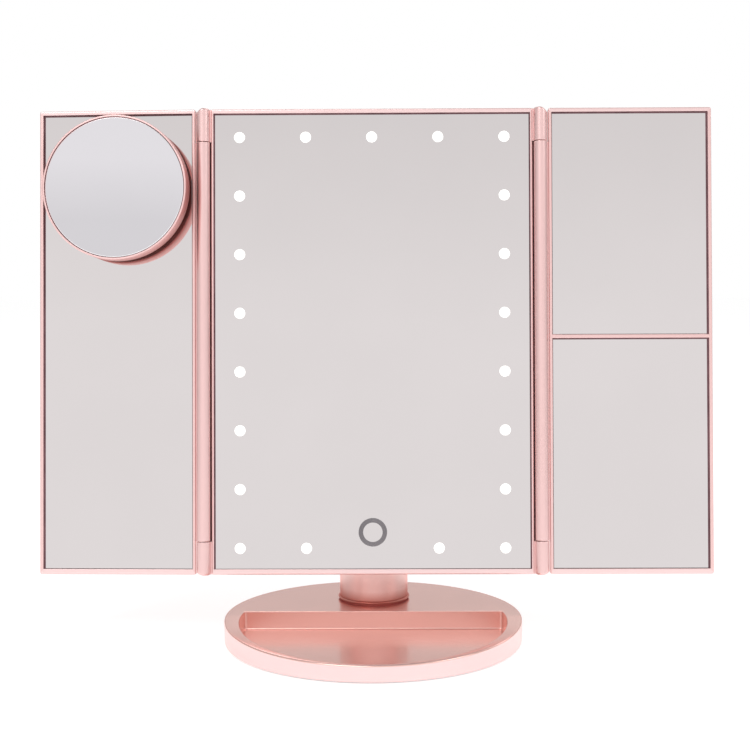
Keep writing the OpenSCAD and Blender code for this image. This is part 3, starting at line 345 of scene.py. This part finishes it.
def castOnto(outline, centre, turns):  # where rays from the centre meet a closed outline
    hits = []
    for turn in turns:
        dx, dy = math.cos(turn), math.sin(turn)
        best = None
        for (ax, ay), (bx, by) in zip(outline, outline[1:] + outline[:1]):
            ex, ey, fx, fy = bx - ax, by - ay, ax - centre[0], ay - centre[1]
            across = dx * ey - dy * ex
            if abs(across) < 1e-12:
                continue
            far, along = (fx * ey - fy * ex) / across, (fx * dy - fy * dx) / across
            if far > 0 and -1e-9 <= along <= 1 + 1e-9 and (best is None or far > best):
                best = far
        hits.append((centre[0] + dx * best, centre[1] + dy * best))
    return hits


# rows of small parts, laid out with Geometry Nodes
def rowTree():
    tree = bpy.data.node_groups.new("rowOfParts", "GeometryNodeTree")
    tree.interface.new_socket("Geometry", in_out="OUTPUT", socket_type="NodeSocketGeometry")
    for label, kind in (("Geometry", "Geometry"), ("Part", "Object"), ("Count", "Int"),
                        ("Start", "Vector"), ("Step", "Vector"), ("Turn", "Vector"),
                        ("Look", "Material")):
        tree.interface.new_socket(label, in_out="INPUT", socket_type="NodeSocket" + kind)
    given = tree.nodes.new("NodeGroupInput").outputs
    line = tree.nodes.new("GeometryNodeMeshLine")
    part = tree.nodes.new("GeometryNodeObjectInfo")
    place = tree.nodes.new("GeometryNodeInstanceOnPoints")
    real = tree.nodes.new("GeometryNodeRealizeInstances")
    paint = tree.nodes.new("GeometryNodeSetMaterial")
    both = tree.nodes.new("GeometryNodeJoinGeometry")
    result = tree.nodes.new("NodeGroupOutput")
    links = ((given["Count"], line.inputs["Count"]),
             (given["Start"], line.inputs["Start Location"]),
             (given["Step"], line.inputs["Offset"]),
             (given["Part"], part.inputs["Object"]),
             (line.outputs[0], place.inputs["Points"]),
             (part.outputs["Geometry"], place.inputs["Instance"]),
             (given["Turn"], place.inputs["Rotation"]),
             (place.outputs[0], both.inputs[0]),
             (given["Geometry"], both.inputs[0]),
             (both.outputs[0], real.inputs[0]),
             (real.outputs[0], paint.inputs["Geometry"]),
             (given["Look"], paint.inputs["Material"]),
             (paint.outputs[0], result.inputs[0]))
    for source, target in links:
        tree.links.new(source, target)
    return tree


rowOfParts = rowTree()


def layRows(name, partMesh, rows, look, place):  # rows of (count, start, step, turn), in mm
    part = bpy.data.objects.new(name + "Part", partMesh)
    holder = bpy.data.objects.new(name + "Rows", bpy.data.meshes.new(name + "Rows"))
    bpy.context.scene.collection.objects.link(holder)
    sockets = {item.name: item.identifier for item in rowOfParts.interface.items_tree
               if item.in_out == "INPUT"}
    for count, start, step, turn in rows:
        row = holder.modifiers.new("row", "NODES")
        row.node_group = rowOfParts
        for label, value in (("Part", part), ("Count", count), ("Start", start), ("Step", step),
                             ("Turn", turn), ("Look", look)):
            row[sockets[label]] = value
    scene = bpy.context.evaluated_depsgraph_get()
    mesh = bpy.data.meshes.new_from_object(holder.evaluated_get(scene))
    bpy.data.objects.remove(holder)
    bpy.data.objects.remove(part)
    shape = bmesh.new()
    shape.from_mesh(mesh)
    return shaded(shape, name, place)


def onAxis(x, y):
    return Matrix.Translation((x, y, 0))


# base
base = {"radius": 76.5, "top": 13.3, "low": 0.5, "slope": 3.1, "topRound": 0.8, "lowRound": 2.0,
        "trayR": 68.53, "trayMiddle": -5.67, "trayBack": 8.7, "trayCorner": 1.5, "trayFloor": 3.8,
        "cove": 0.7, "coveStart": 3, "coveRun": 4, "fillet": 0.6, "lip": 0.4, "wall": 2.2,
        "cover": 2.2, "ceiling": 11.7, "rays": 288, "heart": (0, -20)}


def trayOutline(margin):  # half moon, grown or shrunk by a margin
    r, back = base["trayR"] + margin, base["trayBack"] + margin
    corner = max(base["trayCorner"] + margin, 0.5)
    cornerX = math.sqrt((r - corner) ** 2 - (back - corner - base["trayMiddle"]) ** 2)
    turn = math.degrees(math.atan2(back - corner - base["trayMiddle"], cornerX))
    half = arc(cornerX, back - corner, corner, turn, 90, 8)
    front = arc(0, base["trayMiddle"], r, turn - 1, -90, 150)
    right = list(reversed(half)) + front
    return right + [(-x, y) for x, y in reversed(right[:-1])]


def topHeight(y, drop=0.0):
    return base["top"] - drop + min(0, y) * math.tan(math.radians(base["slope"]))


def baseShell():
    cx, cy = base["heart"]
    inner = trayOutline(0)
    turns = sorted({round(math.tau * k / base["rays"], 6) for k in range(base["rays"])}
                   | {round(math.atan2(y - cy, x - cx) % math.tau, 6) for x, y in inner if y > 4})
    circle = lambda r: castOnto(arc(0, 0, r, 0, 359, 359), base["heart"], turns)
    tray = lambda margin: castOnto(trayOutline(margin), base["heart"], turns)
    edgeRing = tray(0)
    # 1 along the back wall, where the cove is, and 0 in front, where the fillet is
    reach = [min(1, max(0, (y - base["coveStart"]) / base["coveRun"])) for x, y in edgeRing]
    rounding = [base["fillet"] + (base["cove"] - base["fillet"]) * share for share in reach]
    rings = [[((x + cx) / 2, (y + cy) / 2, base["trayFloor"]) for x, y in edgeRing]]
    for k in range(6):  # cove and fillet up the tray's wall
        a = math.radians(18 * k)
        wide = tray(-base["cove"] * (1 - math.sin(a)))
        slim = tray(-base["fillet"] * (1 - math.sin(a)))
        rings.append([(bx + (ax - bx) * share, by + (ay - by) * share,
                       base["trayFloor"] + f * (1 - math.cos(a)))
                      for share, f, (ax, ay), (bx, by) in zip(reach, rounding, wide, slim)])
    for k in range(4):  # rounded lip of the tray
        a = math.radians(30 * k)
        drop = base["lip"] * (1 - math.sin(a))
        rings.append([(x, y, topHeight(y, drop)) for x, y in tray(base["lip"] * (1 - math.cos(a)))])
    lipRing, r = tray(base["lip"]), base["radius"] - base["topRound"]
    outerRing = circle(r)
    for share in (0.25, 0.5, 0.75):
        mixed = [(ax + (bx - ax) * share, ay + (by - ay) * share)
                 for (ax, ay), (bx, by) in zip(lipRing, outerRing)]
        rings.append([(x, y, topHeight(y)) for x, y in mixed])
    for k in range(6):  # rounded top edge
        a = math.radians(18 * k)
        rings.append([(x, y, topHeight(y, base["topRound"] * (1 - math.cos(a))))
                      for x, y in circle(r + base["topRound"] * math.sin(a))])
    wallTop = len(rings) - 1
    r = base["radius"] - base["lowRound"]
    for k in range(7):  # rounded lower edge
        a = math.radians(15 * k)
        height = base["low"] + base["lowRound"] * (1 - math.sin(a))
        rings.append([(x, y, height) for x, y in circle(r + base["lowRound"] * math.cos(a))])
    wallFoot = len(rings) - 1
    hollow = circle(base["radius"] - base["wall"])
    behind = tray(base["wall"])
    ceiling = [base["ceiling"] if y > base["trayBack"] + base["wall"] else base["cover"]
               for x, y in hollow]
    rings.append([(x, y, base["low"]) for x, y in hollow])
    rings.append([(x, y, z) for (x, y), z in zip(hollow, ceiling)])
    rings.append([(x, y, z) for (x, y), z in zip(behind, ceiling)])
    rings.append([(x, y, base["cover"]) for x, y in behind])
    # the base's outer wall takes the paler paint, a painted highlight
    looks = [1 if wallTop <= band < wallFoot else 0 for band in range(len(rings) - 1)]
    shape = bmesh.new()
    loops = skin(shape, rings, looks=looks)
    shape.faces.new(loops[0])
    shape.faces.new(loops[-1])
    bmesh.ops.triangulate(shape, faces=[f for f in shape.faces if len(f.verts) > 4])
    bmesh.ops.scale(shape, vec=(mm, mm, mm), verts=shape.verts)
    return shaded(shape, "baseShell", sharp=32, merge=0.001)


standIn("baseShell", baseShell(), "base_shell", [basePaint, highlightPaint])
print("base made")


# collar of the neck, with a shadow gap under its rim
collar = {"bore": 10.1, "foot": 13.3, "top": 15.3, "radius": 19.1, "neck": 18.2, "gapIn": 17.8,
          "gapOut": 17.9, "gapHigh": 0.7,  # each step of the rim is in from the radius, up from the foot
          "rim": ((0.45, 0.75), (0.28, 0.9), (0.05, 1.3), (0, 1.45), (0.08, 1.65), (0.35, 1.92))}


def neckCollar():
    shape = bmesh.new()
    c, z, r = collar, collar["foot"], collar["radius"]
    profile = [(c["bore"], z), (c["gapIn"], z), (c["gapOut"], z + c["gapHigh"])]
    profile += [(r - inwards, z + up) for inwards, up in c["rim"]]
    profile += [(c["neck"], c["top"]), (c["bore"], c["top"])]
    looks = [0, 1, 1] + [0] * (len(profile) - 3)  # the gap's faces take painted shade
    turned(shape, profile, 128, onAxis(0, panel["axisY"]), around=True, looks=looks)
    return shaded(shape, "neckCollar", Matrix.Scale(mm, 4))


# frames round the glasses
edge = {"front": 0.6, "inner": 0.2, "corner": 1.0, "inset": 1.0, "shadeStrip": 0.16}


def rimOf(shape, outer, inner, sizes):
    # rings run from the outer back edge over the front to the pocket
    f, n = edge["front"], edge["inner"]
    ledgeFront, ledgeBack = sizes["ledge"]
    shrink = (-sizes["ledgeW"],) * 4
    lip = lambda share, extra=0.0: grown(inner, [side * share + extra for side in sizes["lips"]])
    rings = [boxRing(outer, sizes["depth"], edge["corner"])]
    for a, b in arc(f, f, f, 180, 270, 4):
        rings.append(boxRing(grown(outer, (-a,) * 4), b, max(edge["corner"] - a, 0.3)))
    plain = len(rings)
    rings.append(boxRing(lip(1, n), 0, 0.25))
    rings.append(boxRing(lip(1, n * 0.3), n * 0.3, 0.2))
    rings.append(boxRing(lip(1), n, 0.2))
    rings.append(boxRing(lip(0.2), edge["inset"] - edge["shadeStrip"], 0.2))
    rings.append(boxRing(lip(0), edge["inset"], 0.2))
    rings.append(boxRing(inner, ledgeFront, 0.2))
    rings.append(boxRing(grown(inner, shrink), ledgeFront, 0.2))
    rings.append(boxRing(grown(inner, shrink), ledgeBack, 0.2))
    pocket = grown(outer, (-sizes["wall"],) * 4)
    rings.append(boxRing(pocket, ledgeBack, 0.2))
    rings.append(boxRing(pocket, sizes["depth"], 0.2))
    looks = [0] * (plain + 2) + [1] * 3 + [0] * (len(rings) - plain - 5)  # the lip's inside takes painted shade
    skin(shape, rings, around=True, looks=looks)
    for face in shape.faces:  # the fronts of the top and bottom rails take the paler paint, a painted highlight
        middle = face.calc_center_median()
        if middle.y < 0.05 and not inner[2] < middle.z < inner[3]:
            face.material_index = 2


def shadeStripOf(shape, inner, widths):  # dark strip over the glass's edge, painted shade of the gap between frame and glass
    high, low = edge["inset"] - edge["shadeStrip"], edge["inset"] - 0.015
    slim = grown(inner, [-w for w in widths])
    wide = grown(inner, (0.04,) * 4)
    rings = [boxRing(wide, low, 0.2), boxRing(wide, high, 0.2), boxRing(slim, high + 0.08, 0.2),
             boxRing(slim, low, 0.2)]
    skin(shape, rings, around=True, looks=1)


knuckle = {"radius": 3.5, "bore": 1.28, "length": 17, "proud": 0.2, "round": 1.2, "gap": 0.3,
           "ease": 0.3, "slopeTop": 2.2, "slopeBottom": 1.1, "curve": 1.4, "steps": 56,
           "webIn": 1.4, "webFront": 0.6, "webBack": 3.2, "webEnd": 0.1, "webEase": 0.15}


def endKnuckle(shape, side, top):
    k = knuckle
    profile = [(k["bore"], -k["proud"])]
    profile += arc(k["radius"] - k["round"], k["round"] - k["proud"], k["round"], -90, 0, 6)
    profile += arc(k["radius"] - k["ease"], k["length"] - k["ease"], k["ease"], 0, 90, 3)
    profile += [(k["bore"], k["length"])]
    place = onAxis(side * panel["hingeX"], -panel["axisProud"])
    low, high = k["webEnd"], k["length"]
    if top:
        place @= Matrix.Translation((0, 0, panel["height"])) @ Matrix.Diagonal((1, 1, -1, 1))
        low, high = panel["height"] - high, panel["height"] - low
    loops = turned(shape, profile, k["steps"], place, around=True)
    slope = -k["slopeTop"] if top else k["slopeBottom"]
    for vert in (vert for loop in loops[:8] for vert in loop):  # the end falls away to the wing
        out = max(0, side * vert.co.x - panel["hingeX"]) / k["radius"]
        vert.co.z += slope * out ** k["curve"]
    left, right = sorted((side * (panel["width"] / 2 - k["webIn"]), side * panel["hingeX"]))
    block(shape, (left, k["webFront"], low), (right, k["webBack"], high), k["webEase"])


centre = {"side": 1.7, "top": 2.3, "bottom": 2.8, "depth": 9, "wall": 1.7,
          "lips": (0.5, 0.5, 0.02, 0.1), "shadeStrip": (0.3, 0.12, 0.02, 0.7), "ledge": (4.4, 6.0),
          "ledgeW": 5, "flangeIn": 0.8, "flangeOut": 3.0, "flangeFront": 3.7, "flangeBack": 4.9,
          "flangeEnd": 0.3, "flangeEase": 0.25}


def centreFrame():
    shape = bmesh.new()
    c, half, high = centre, panel["width"] / 2, panel["height"]
    inner = (-half + c["side"], half - c["side"], c["bottom"], high - c["top"])
    rimOf(shape, (-half, half, 0, high), inner, c)
    shadeStripOf(shape, inner, c["shadeStrip"])
    for side in (-1, 1):
        endKnuckle(shape, side, False)
        endKnuckle(shape, side, True)
        left, right = sorted((side * (half - c["flangeIn"]), side * (half + c["flangeOut"])))
        # the flange's front faces take the groove's dark colour, painted shade of the gap beside the
        # barrel
        block(shape, (left, c["flangeFront"], c["flangeEnd"]),
              (right, c["flangeBack"], high - c["flangeEnd"]), c["flangeEase"], front=1)
    return shaded(shape, "centreFrame", panelPlace())


wing = {"in": 4.1, "left": 85.5, "right": 87.9, "depth": 7, "hingeRail": 1.7, "outerRail": 2.4,
        "bottom": 2.8, "top": 2.3, "wall": 1.6, "lips": (0.1, 0.6, 0.02, 0.2),
        "shadeStrip": (0.03, 0.42, 0.02, 0.7), "ledge": (3.0, 5.4), "ledgeW": 4,
        "bar": (121.15, 123.05), "barFront": 0.12, "barIn": 0.5, "barOut": 0.9, "barEase": 0.3,
        "webIn": 0.5, "webFront": 0.9, "webOver": 0.6}


def wingFrame(side):
    shape = bmesh.new()
    w, k = wing, knuckle
    reach, high = w["right"] if side > 0 else w["left"], panel["height"]
    inner = (w["in"] + w["hingeRail"], reach - w["outerRail"], w["bottom"], high - w["top"])
    rimOf(shape, (w["in"], reach, 0, high), inner, w)
    if side > 0:  # the bar between the two glasses, and a strip of painted shade round each
        low, top = w["bar"]
        block(shape, (inner[0] - w["barIn"], w["barFront"], low),
              (inner[1] + w["barOut"], w["ledge"][1], top), w["barEase"])
        shadeStripOf(shape, (inner[0], inner[1], inner[2], low), w["shadeStrip"])
        shadeStripOf(shape, (inner[0], inner[1], top, inner[3]), w["shadeStrip"])
    else:
        shadeStripOf(shape, inner, w["shadeStrip"])
    low = k["length"] + k["gap"]
    profile = [(k["bore"], low)]
    profile += arc(k["radius"] - k["ease"], low + k["ease"], k["ease"], -90, 0, 3)
    profile += arc(k["radius"] - k["ease"], high - low - k["ease"], k["ease"], 0, 90, 3)
    profile += [(k["bore"], high - low)]
    turned(shape, profile, k["steps"], onAxis(0, -panel["axisProud"]), around=True)
    block(shape, (w["webIn"], w["webFront"], low),
          (w["in"] + w["webOver"], k["webBack"], high - low), k["webEase"])
    return shaded(shape, "wingFrame", wingPlace(side))


standIn("neckCollar", neckCollar(), "neck_collar", [neckPaint, seamShade])
frameLooks = [rosePaint, grooveShade, highlightPaint]
standIn("centreFrame", centreFrame(), "centre_frame", frameLooks)
standIn("leftWingFrame", wingFrame(-1), "left_wing_frame", frameLooks)
standIn("rightWingFrame", wingFrame(1), "right_wing_frame", frameLooks)
print("frames made")


# spot mirror
spot = {"radius": 36.85, "thick": 14, "backRound": 3.5, "backRing": 4, "rim": 0.95,
        "rimRound": 0.4, "lipRound": 0.15, "seat": 10.6, "seatW": 2, "shell": 1.6, "stem": 4.7,
        "boss": 6.5, "glassT": 3.0, "play": 0.02, "glue": 0.05, "hollow": 300, "gap": 0.36,
        "gapDeep": 0.6, "bevel": 0.32, "bevelDrop": 0.13, "steps": 144,
        "height": 198.1, "back": -3.0, "shift": 1.6}
glassSides = (wing["in"] + wing["hingeRail"], wing["left"] - wing["outerRail"])
spot["out"] = sum(glassSides) / 2 - spot["shift"]


def spotPlace():  # z from the housing's back towards the viewer
    return (wingPlace(-1) @ Matrix.Translation((spot["out"], spot["back"], spot["height"]))
            @ Matrix.Rotation(math.radians(90), 4, "X"))


spotAxis = spotPlace().to_3x3().col[2].normalized()
spotFoot = spotPlace().translation.dot(spotAxis) / mm
# the housing's paint turns a darker rose towards its back, wholly in the last 2 mm: painted shade of the
# gap to the wing's glass
spotPaint = pearlPaint("spotPaint", roseDeep, rosePale, 0.3,
                       (spotAxis, spotFoot + 2, spotFoot + 12, rgb(168, 98, 93)), redEdge)


def spotHousing():
    shape = bmesh.new()
    s, r, t = spot, spot["radius"], spot["thick"]
    under, rim, lip, glassR = s["backRound"], s["rimRound"], s["lipRound"], r - s["rim"]
    profile = [(s["stem"], 0), (r - under - s["backRing"], 0)]
    profile += arc(r - under, under, under, -90, 0, 8)
    profile += arc(r - rim, t - rim, rim, 0, 90, 5)
    profile += arc(glassR + lip, t - lip, lip, 90, 180, 3)
    profile += [(glassR, s["seat"]), (glassR - s["seatW"], s["seat"]),
                (glassR - s["seatW"], s["shell"]), (s["boss"], s["shell"]),
                (s["boss"], s["seat"]), (s["stem"], s["seat"])]
    looks = [0] * 2 + [1] * 5 + [0] * (len(profile) - 7)  # a dark band of painted shade runs round the back edge
    turned(shape, profile, s["steps"], around=True, looks=looks)
    return shaded(shape, "spotHousing", spotPlace())


def spotGlass():
    shape = bmesh.new()
    s = spot
    glassR, foot = s["radius"] - s["rim"] - s["play"], s["seat"] + s["glue"]
    edgeZ, inner = s["seat"] + s["glassT"], glassR - s["gap"]
    flatR = inner - s["bevel"]
    bowl = lambda r: math.sqrt(s["hollow"] ** 2 - r ** 2)
    profile = [(flatR * k / 24, edgeZ + (bowl(flatR) - bowl(flatR * k / 24))) for k in range(1, 25)]
    profile += [(inner, edgeZ - s["bevelDrop"]), (inner, edgeZ - s["gapDeep"]),
                (glassR, edgeZ - s["gapDeep"]), (glassR, foot), (glassR * 0.5, foot),
                (glassR * 0.1, foot)]
    looks = [0] * 23 + [1, 2, 2, 0, 0, 0]  # mirror, bevel in the paler silver of a painted highlight, painted shade in the gap round it, back
    turned(shape, profile, s["steps"], looks=looks)
    bmesh.ops.poke(shape, faces=[f for f in shape.faces if len(f.verts) > 4])
    return shaded(shape, "spotGlass", spotPlace(), sharp=10)


standIn("spotHousing", spotHousing(), "spot_housing", [spotPaint, backEdgeShade])
standIn("spotGlass", spotGlass(), "spot_glass", [spotSilver, bevelHighlightSilver, grooveShade])


# light windows
windows = {"radius": 2.82, "ease": 0.12, "bow": 0.1, "front": 0.99, "back": 3.0, "side": 68.3,
           "low": 13.4, "high": 225.5, "rows": 8}


def windowMesh():
    shape = bmesh.new()
    r, e = windows["radius"], windows["ease"]
    deep = windows["back"] - windows["front"]
    profile = [(r * 0.33, deep + windows["bow"] * 0.85), (r * 0.66, deep + windows["bow"] * 0.55)]
    profile += [(r - e, deep), (r, deep - e), (r, 0), (r * 0.5, 0)]
    turned(shape, profile, 28, Matrix.Rotation(math.radians(90), 4, "X"))
    bmesh.ops.poke(shape, faces=[f for f in shape.faces if len(f.verts) > 4])
    return shaded(shape, "window", merge=0)


x, low, high = windows["side"], windows["low"], windows["high"]
pitch = (high - low) / (windows["rows"] - 1)
windowRows = [(windows["rows"], (-x, windows["back"], low), (0, 0, pitch), (0, 0, 0)),
              (windows["rows"], (x, windows["back"], low), (0, 0, pitch), (0, 0, 0)),
              (3, (-x / 2, windows["back"], high), (x / 2, 0, 0), (0, 0, 0)),
              (2, (-x / 2, windows["back"], low), (x, 0, 0), (0, 0, 0))]
laid = layRows("lightWindows", windowMesh(), windowRows, windowFrost, panelPlace())
standIn("lightWindows", laid, "light_windows", [windowFrost])
print("light windows laid:", sum(row[0] for row in windowRows))


# screws at the back
screw = {"headR": 2.1, "headT": 1.2, "shankR": 0.96, "shankL": 5, "ease": 0.3, "crossHalf": 1.2,
         "crossWide": 0.3, "crossDeep": 0.5, "taper": 0.75, "steps": 28}


def screwMesh():  # the head's outer face at z = 0, the shank up the z axis
    shape = bmesh.new()
    s, tip = screw, screw["headT"] + screw["shankL"]
    profile = arc(s["headR"] - s["ease"], s["ease"], s["ease"], -90, 0, 3)
    profile += [(s["headR"], s["headT"]), (s["shankR"], s["headT"]), (s["shankR"], tip - 0.5),
                (s["shankR"] * 0.4, tip)]
    turns = [math.tau * i / s["steps"] for i in range(s["steps"])]
    loops = skin(shape, [[(r * math.cos(turn), r * math.sin(turn), z) for turn in turns]
                         for r, z in profile])
    shape.faces.new(loops[-1])
    a, b, slim = s["crossHalf"], s["crossWide"], s["taper"]
    plus = [(b, a), (b, b), (a, b), (a, -b), (b, -b), (b, -a),
            (-b, -a), (-b, -b), (-a, -b), (-a, b), (-b, b), (-b, a)]
    recess = skin(shape, [[(x, y, 0) for x, y in plus],
                          [(x * slim, y * slim, s["crossDeep"]) for x, y in plus]])
    shape.faces.new(recess[1])
    rim = [shape.edges.get((loop[i], loop[i - 1]))
           for loop in (loops[0], recess[0]) for i in range(len(loop))]
    bmesh.ops.triangle_fill(shape, edges=rim, use_beauty=True)
    return shaded(shape, "screw", merge=0)


# the node of each group, how far aside and how deep its heads are, and their heights
screwGroups = {"rearScrews": ("rear_cover_screws", 78.6, 14, (8.8, 120, 231.7)),
               "bracketScrews": ("bracket_screws", 19.45, 17, (12.7, 25.7))}
facingBack = (math.pi / 2, 0, 0)
for name, (node, aside, depth, heights) in screwGroups.items():
    rows = [(2, (-aside, depth, z), (2 * aside, 0, 0), facingBack) for z in heights]
    laid = layRows(name, screwMesh(), rows, steelPart, panelPlace())
    standIn(name, laid, node, [steelPart])
print("screw groups laid:", len(screwGroups))


# pieces whose shape stays, with eased edges
def eased(name, node, look, slot, ease, sharp=28):
    mesh = frame["nodes"][node].data.copy()
    shape = bmesh.new()
    shape.from_mesh(mesh)
    bmesh.ops.remove_doubles(shape, verts=shape.verts, dist=0.002 * mm)
    bmesh.ops.dissolve_limit(shape, angle_limit=math.radians(1), verts=shape.verts,
                             edges=shape.edges)
    crisp = [line for line in shape.edges if len(line.link_faces) == 2
             and line.calc_face_angle_signed(0) > math.radians(sharp)]
    bmesh.ops.bevel(shape, geom=crisp, offset=ease * mm, segments=2, profile=0.5, affect="EDGES",
                    clamp_overlap=True)
    standIn(name, shaded(shape, name, merge=0), node, [look])


easedPieces = [
    ("neckColumn", "neck_column", neckPaint, "rose_paint", 0.4),
    ("rearCover", "rear_cover", rosePaint, "rose_paint", 0.25),
    ("tiltBracket", "tilt_bracket", rosePaint, "rose_paint", 0.5),
    ("cellDoor", "battery_door", rosePaint, "rose_paint", 0.25),
    ("leftWingBack", "left_wing_back", rosePaint, "rose_paint", 0.3),
    ("rightWingBack", "right_wing_back", rosePaint, "rose_paint", 0.3),
    ("leftWingGlass", "left_wing_mirror", mirrorSilver, "mirror_glass", 0.12),
    ("upperWingGlass", "upper_wing_mirror", mirrorSilver, "mirror_glass", 0.12),
    ("lowerWingGlass", "lower_wing_mirror", mirrorSilver, "mirror_glass", 0.12),
    ("axleWithHead", "tilt_axle", steelPart, "steel", 0.3),
    ("axleNut", "axle_nut", steelPart, "steel", 0.25),
    ("switchKnob", "switch_slider", blackPlastic, "black_plastic", 0.2),
    ("baseCover", "base_bottom_cover", blackPlastic, "black_plastic", 0.3),
    ("basePad", "base_pad", softRubber, "soft_rubber", 0.3),
]
for piece in easedPieces:
    eased(*piece)
print("eased pieces:", len(easedPieces))


# studio
def softBox(name, stand, aim, width, height, power):
    lamp = bpy.data.lights.new(name, "AREA")
    lamp.shape, lamp.size, lamp.size_y, lamp.energy = "RECTANGLE", width, height, power
    holder = bpy.data.objects.new(name, lamp)
    bpy.context.scene.collection.objects.link(holder)
    holder.location = Vector(stand)
    holder.rotation_euler = (Vector(aim) - Vector(stand)).to_track_quat("-Z", "Y").to_euler()


# plain white is 1: matt faces get the fill, and reflections find the next four parts darker
studio = {"fill": 0.58, "behind": 0.64, "sides": 0.78, "above": 0.62, "haze": 0.87,
          "floorSize": 6.0, "floorAlbedo": 0.8, "floorLift": 0.52}  # the floor's size is in m
world = bpy.data.worlds.new("studio")
bpy.context.scene.world = world
sky = Recipe(world)
ray = lambda kind: Wire(sky, sky.add("ShaderNodeLightPath").socket.node.outputs[kind])
way = sky.add("ShaderNodeSeparateXYZ", None, {0: sky.add("ShaderNodeTexCoord")})
toward = lambda axis: Wire(sky, way.socket.node.outputs[axis])
rise = toward("Z")
dim = sky.spread(toward("Y"), 0.0, 1 - studio["behind"], -0.8, 0.7)
back = 1 - dim * sky.spread(rise, 1.0, 0.35, 0.26, 0.42)
high = (sky.spread(rise, 1.0, studio["above"], 0.5, 0.9)
        * sky.spread(rise, 1.0, studio["haze"], 0.17, 0.33))
plain = ray("Is Camera Ray") + ray("Is Transmission Ray")
across = sky.add("ShaderNodeMath", {"operation": "ABSOLUTE"}, {0: toward("X")})
flags = 1 - sky.spread(across, 0.0, 1 - studio["sides"], 0.45, 0.95)
level = plain + (1 - plain) * (ray("Is Glossy Ray") * back * high * flags
                               + (1 - ray("Is Glossy Ray")) * studio["fill"])
glow = sky.add("ShaderNodeBackground", None, {"Color": (1, 1, 1, 1), "Strength": level})
sky.add("ShaderNodeOutputWorld", None, {"Surface": glow})

softBox("keyBox", (-0.55, -1.1, 1.35), (0, 0, 0.12), 0.9, 0.9, 7)
softBox("sideBox", (1.2, -0.5, 1.0), (0, 0, 0.12), 0.7, 0.7, 3)
softBox("backBox", (0.2, 1.3, 1.2), (0, 0, 0.15), 1.0, 0.8, 2.5)

floorMesh = bpy.data.meshes.new("floor")
half = studio["floorSize"] / 2
corners = [(-half, -half, 0), (half, -half, 0), (half, half, 0), (-half, half, 0)]
floorMesh.from_pydata(corners, [], [(0, 1, 2, 3)])
floor = bpy.data.objects.new("floor", floorMesh)
bpy.context.scene.collection.objects.link(floor)
ground = Recipe("floorPaper")
albedo = studio["floorAlbedo"]
ground.finish(Base_Color=(albedo, albedo, albedo, 1), Roughness=0.9, Specular_IOR_Level=0.0,
              Emission_Color=(1, 1, 1, 1), Emission_Strength=studio["floorLift"])
floorMesh.materials.append(ground.material)

view = {"spot": (9.1, -808.6, 224.1), "yaw": 0.54, "pitch": 6.08, "roll": -0.25,
        "focal": 1603 / 750, "sensor": 36}  # the focal length in widths of the sensor
cameraData = bpy.data.cameras.new("camera")
camera = bpy.data.objects.new("camera", cameraData)
bpy.context.scene.collection.objects.link(camera)
cameraData.sensor_width, cameraData.sensor_fit = view["sensor"], "HORIZONTAL"
cameraData.lens = view["focal"] * view["sensor"]
cameraData.clip_start, cameraData.clip_end = 0.05, 50
camera.location = Vector(view["spot"]) * mm
turn = (Matrix.Rotation(math.radians(view["yaw"]), 3, "Z")
        @ Matrix.Rotation(math.radians(90 - view["pitch"]), 3, "X")
        @ Matrix.Rotation(math.radians(view["roll"]), 3, "Z"))
camera.rotation_euler = turn.to_euler()
bpy.context.scene.camera = camera
bpy.context.scene.view_settings.view_transform = "Standard"
print("studio set")
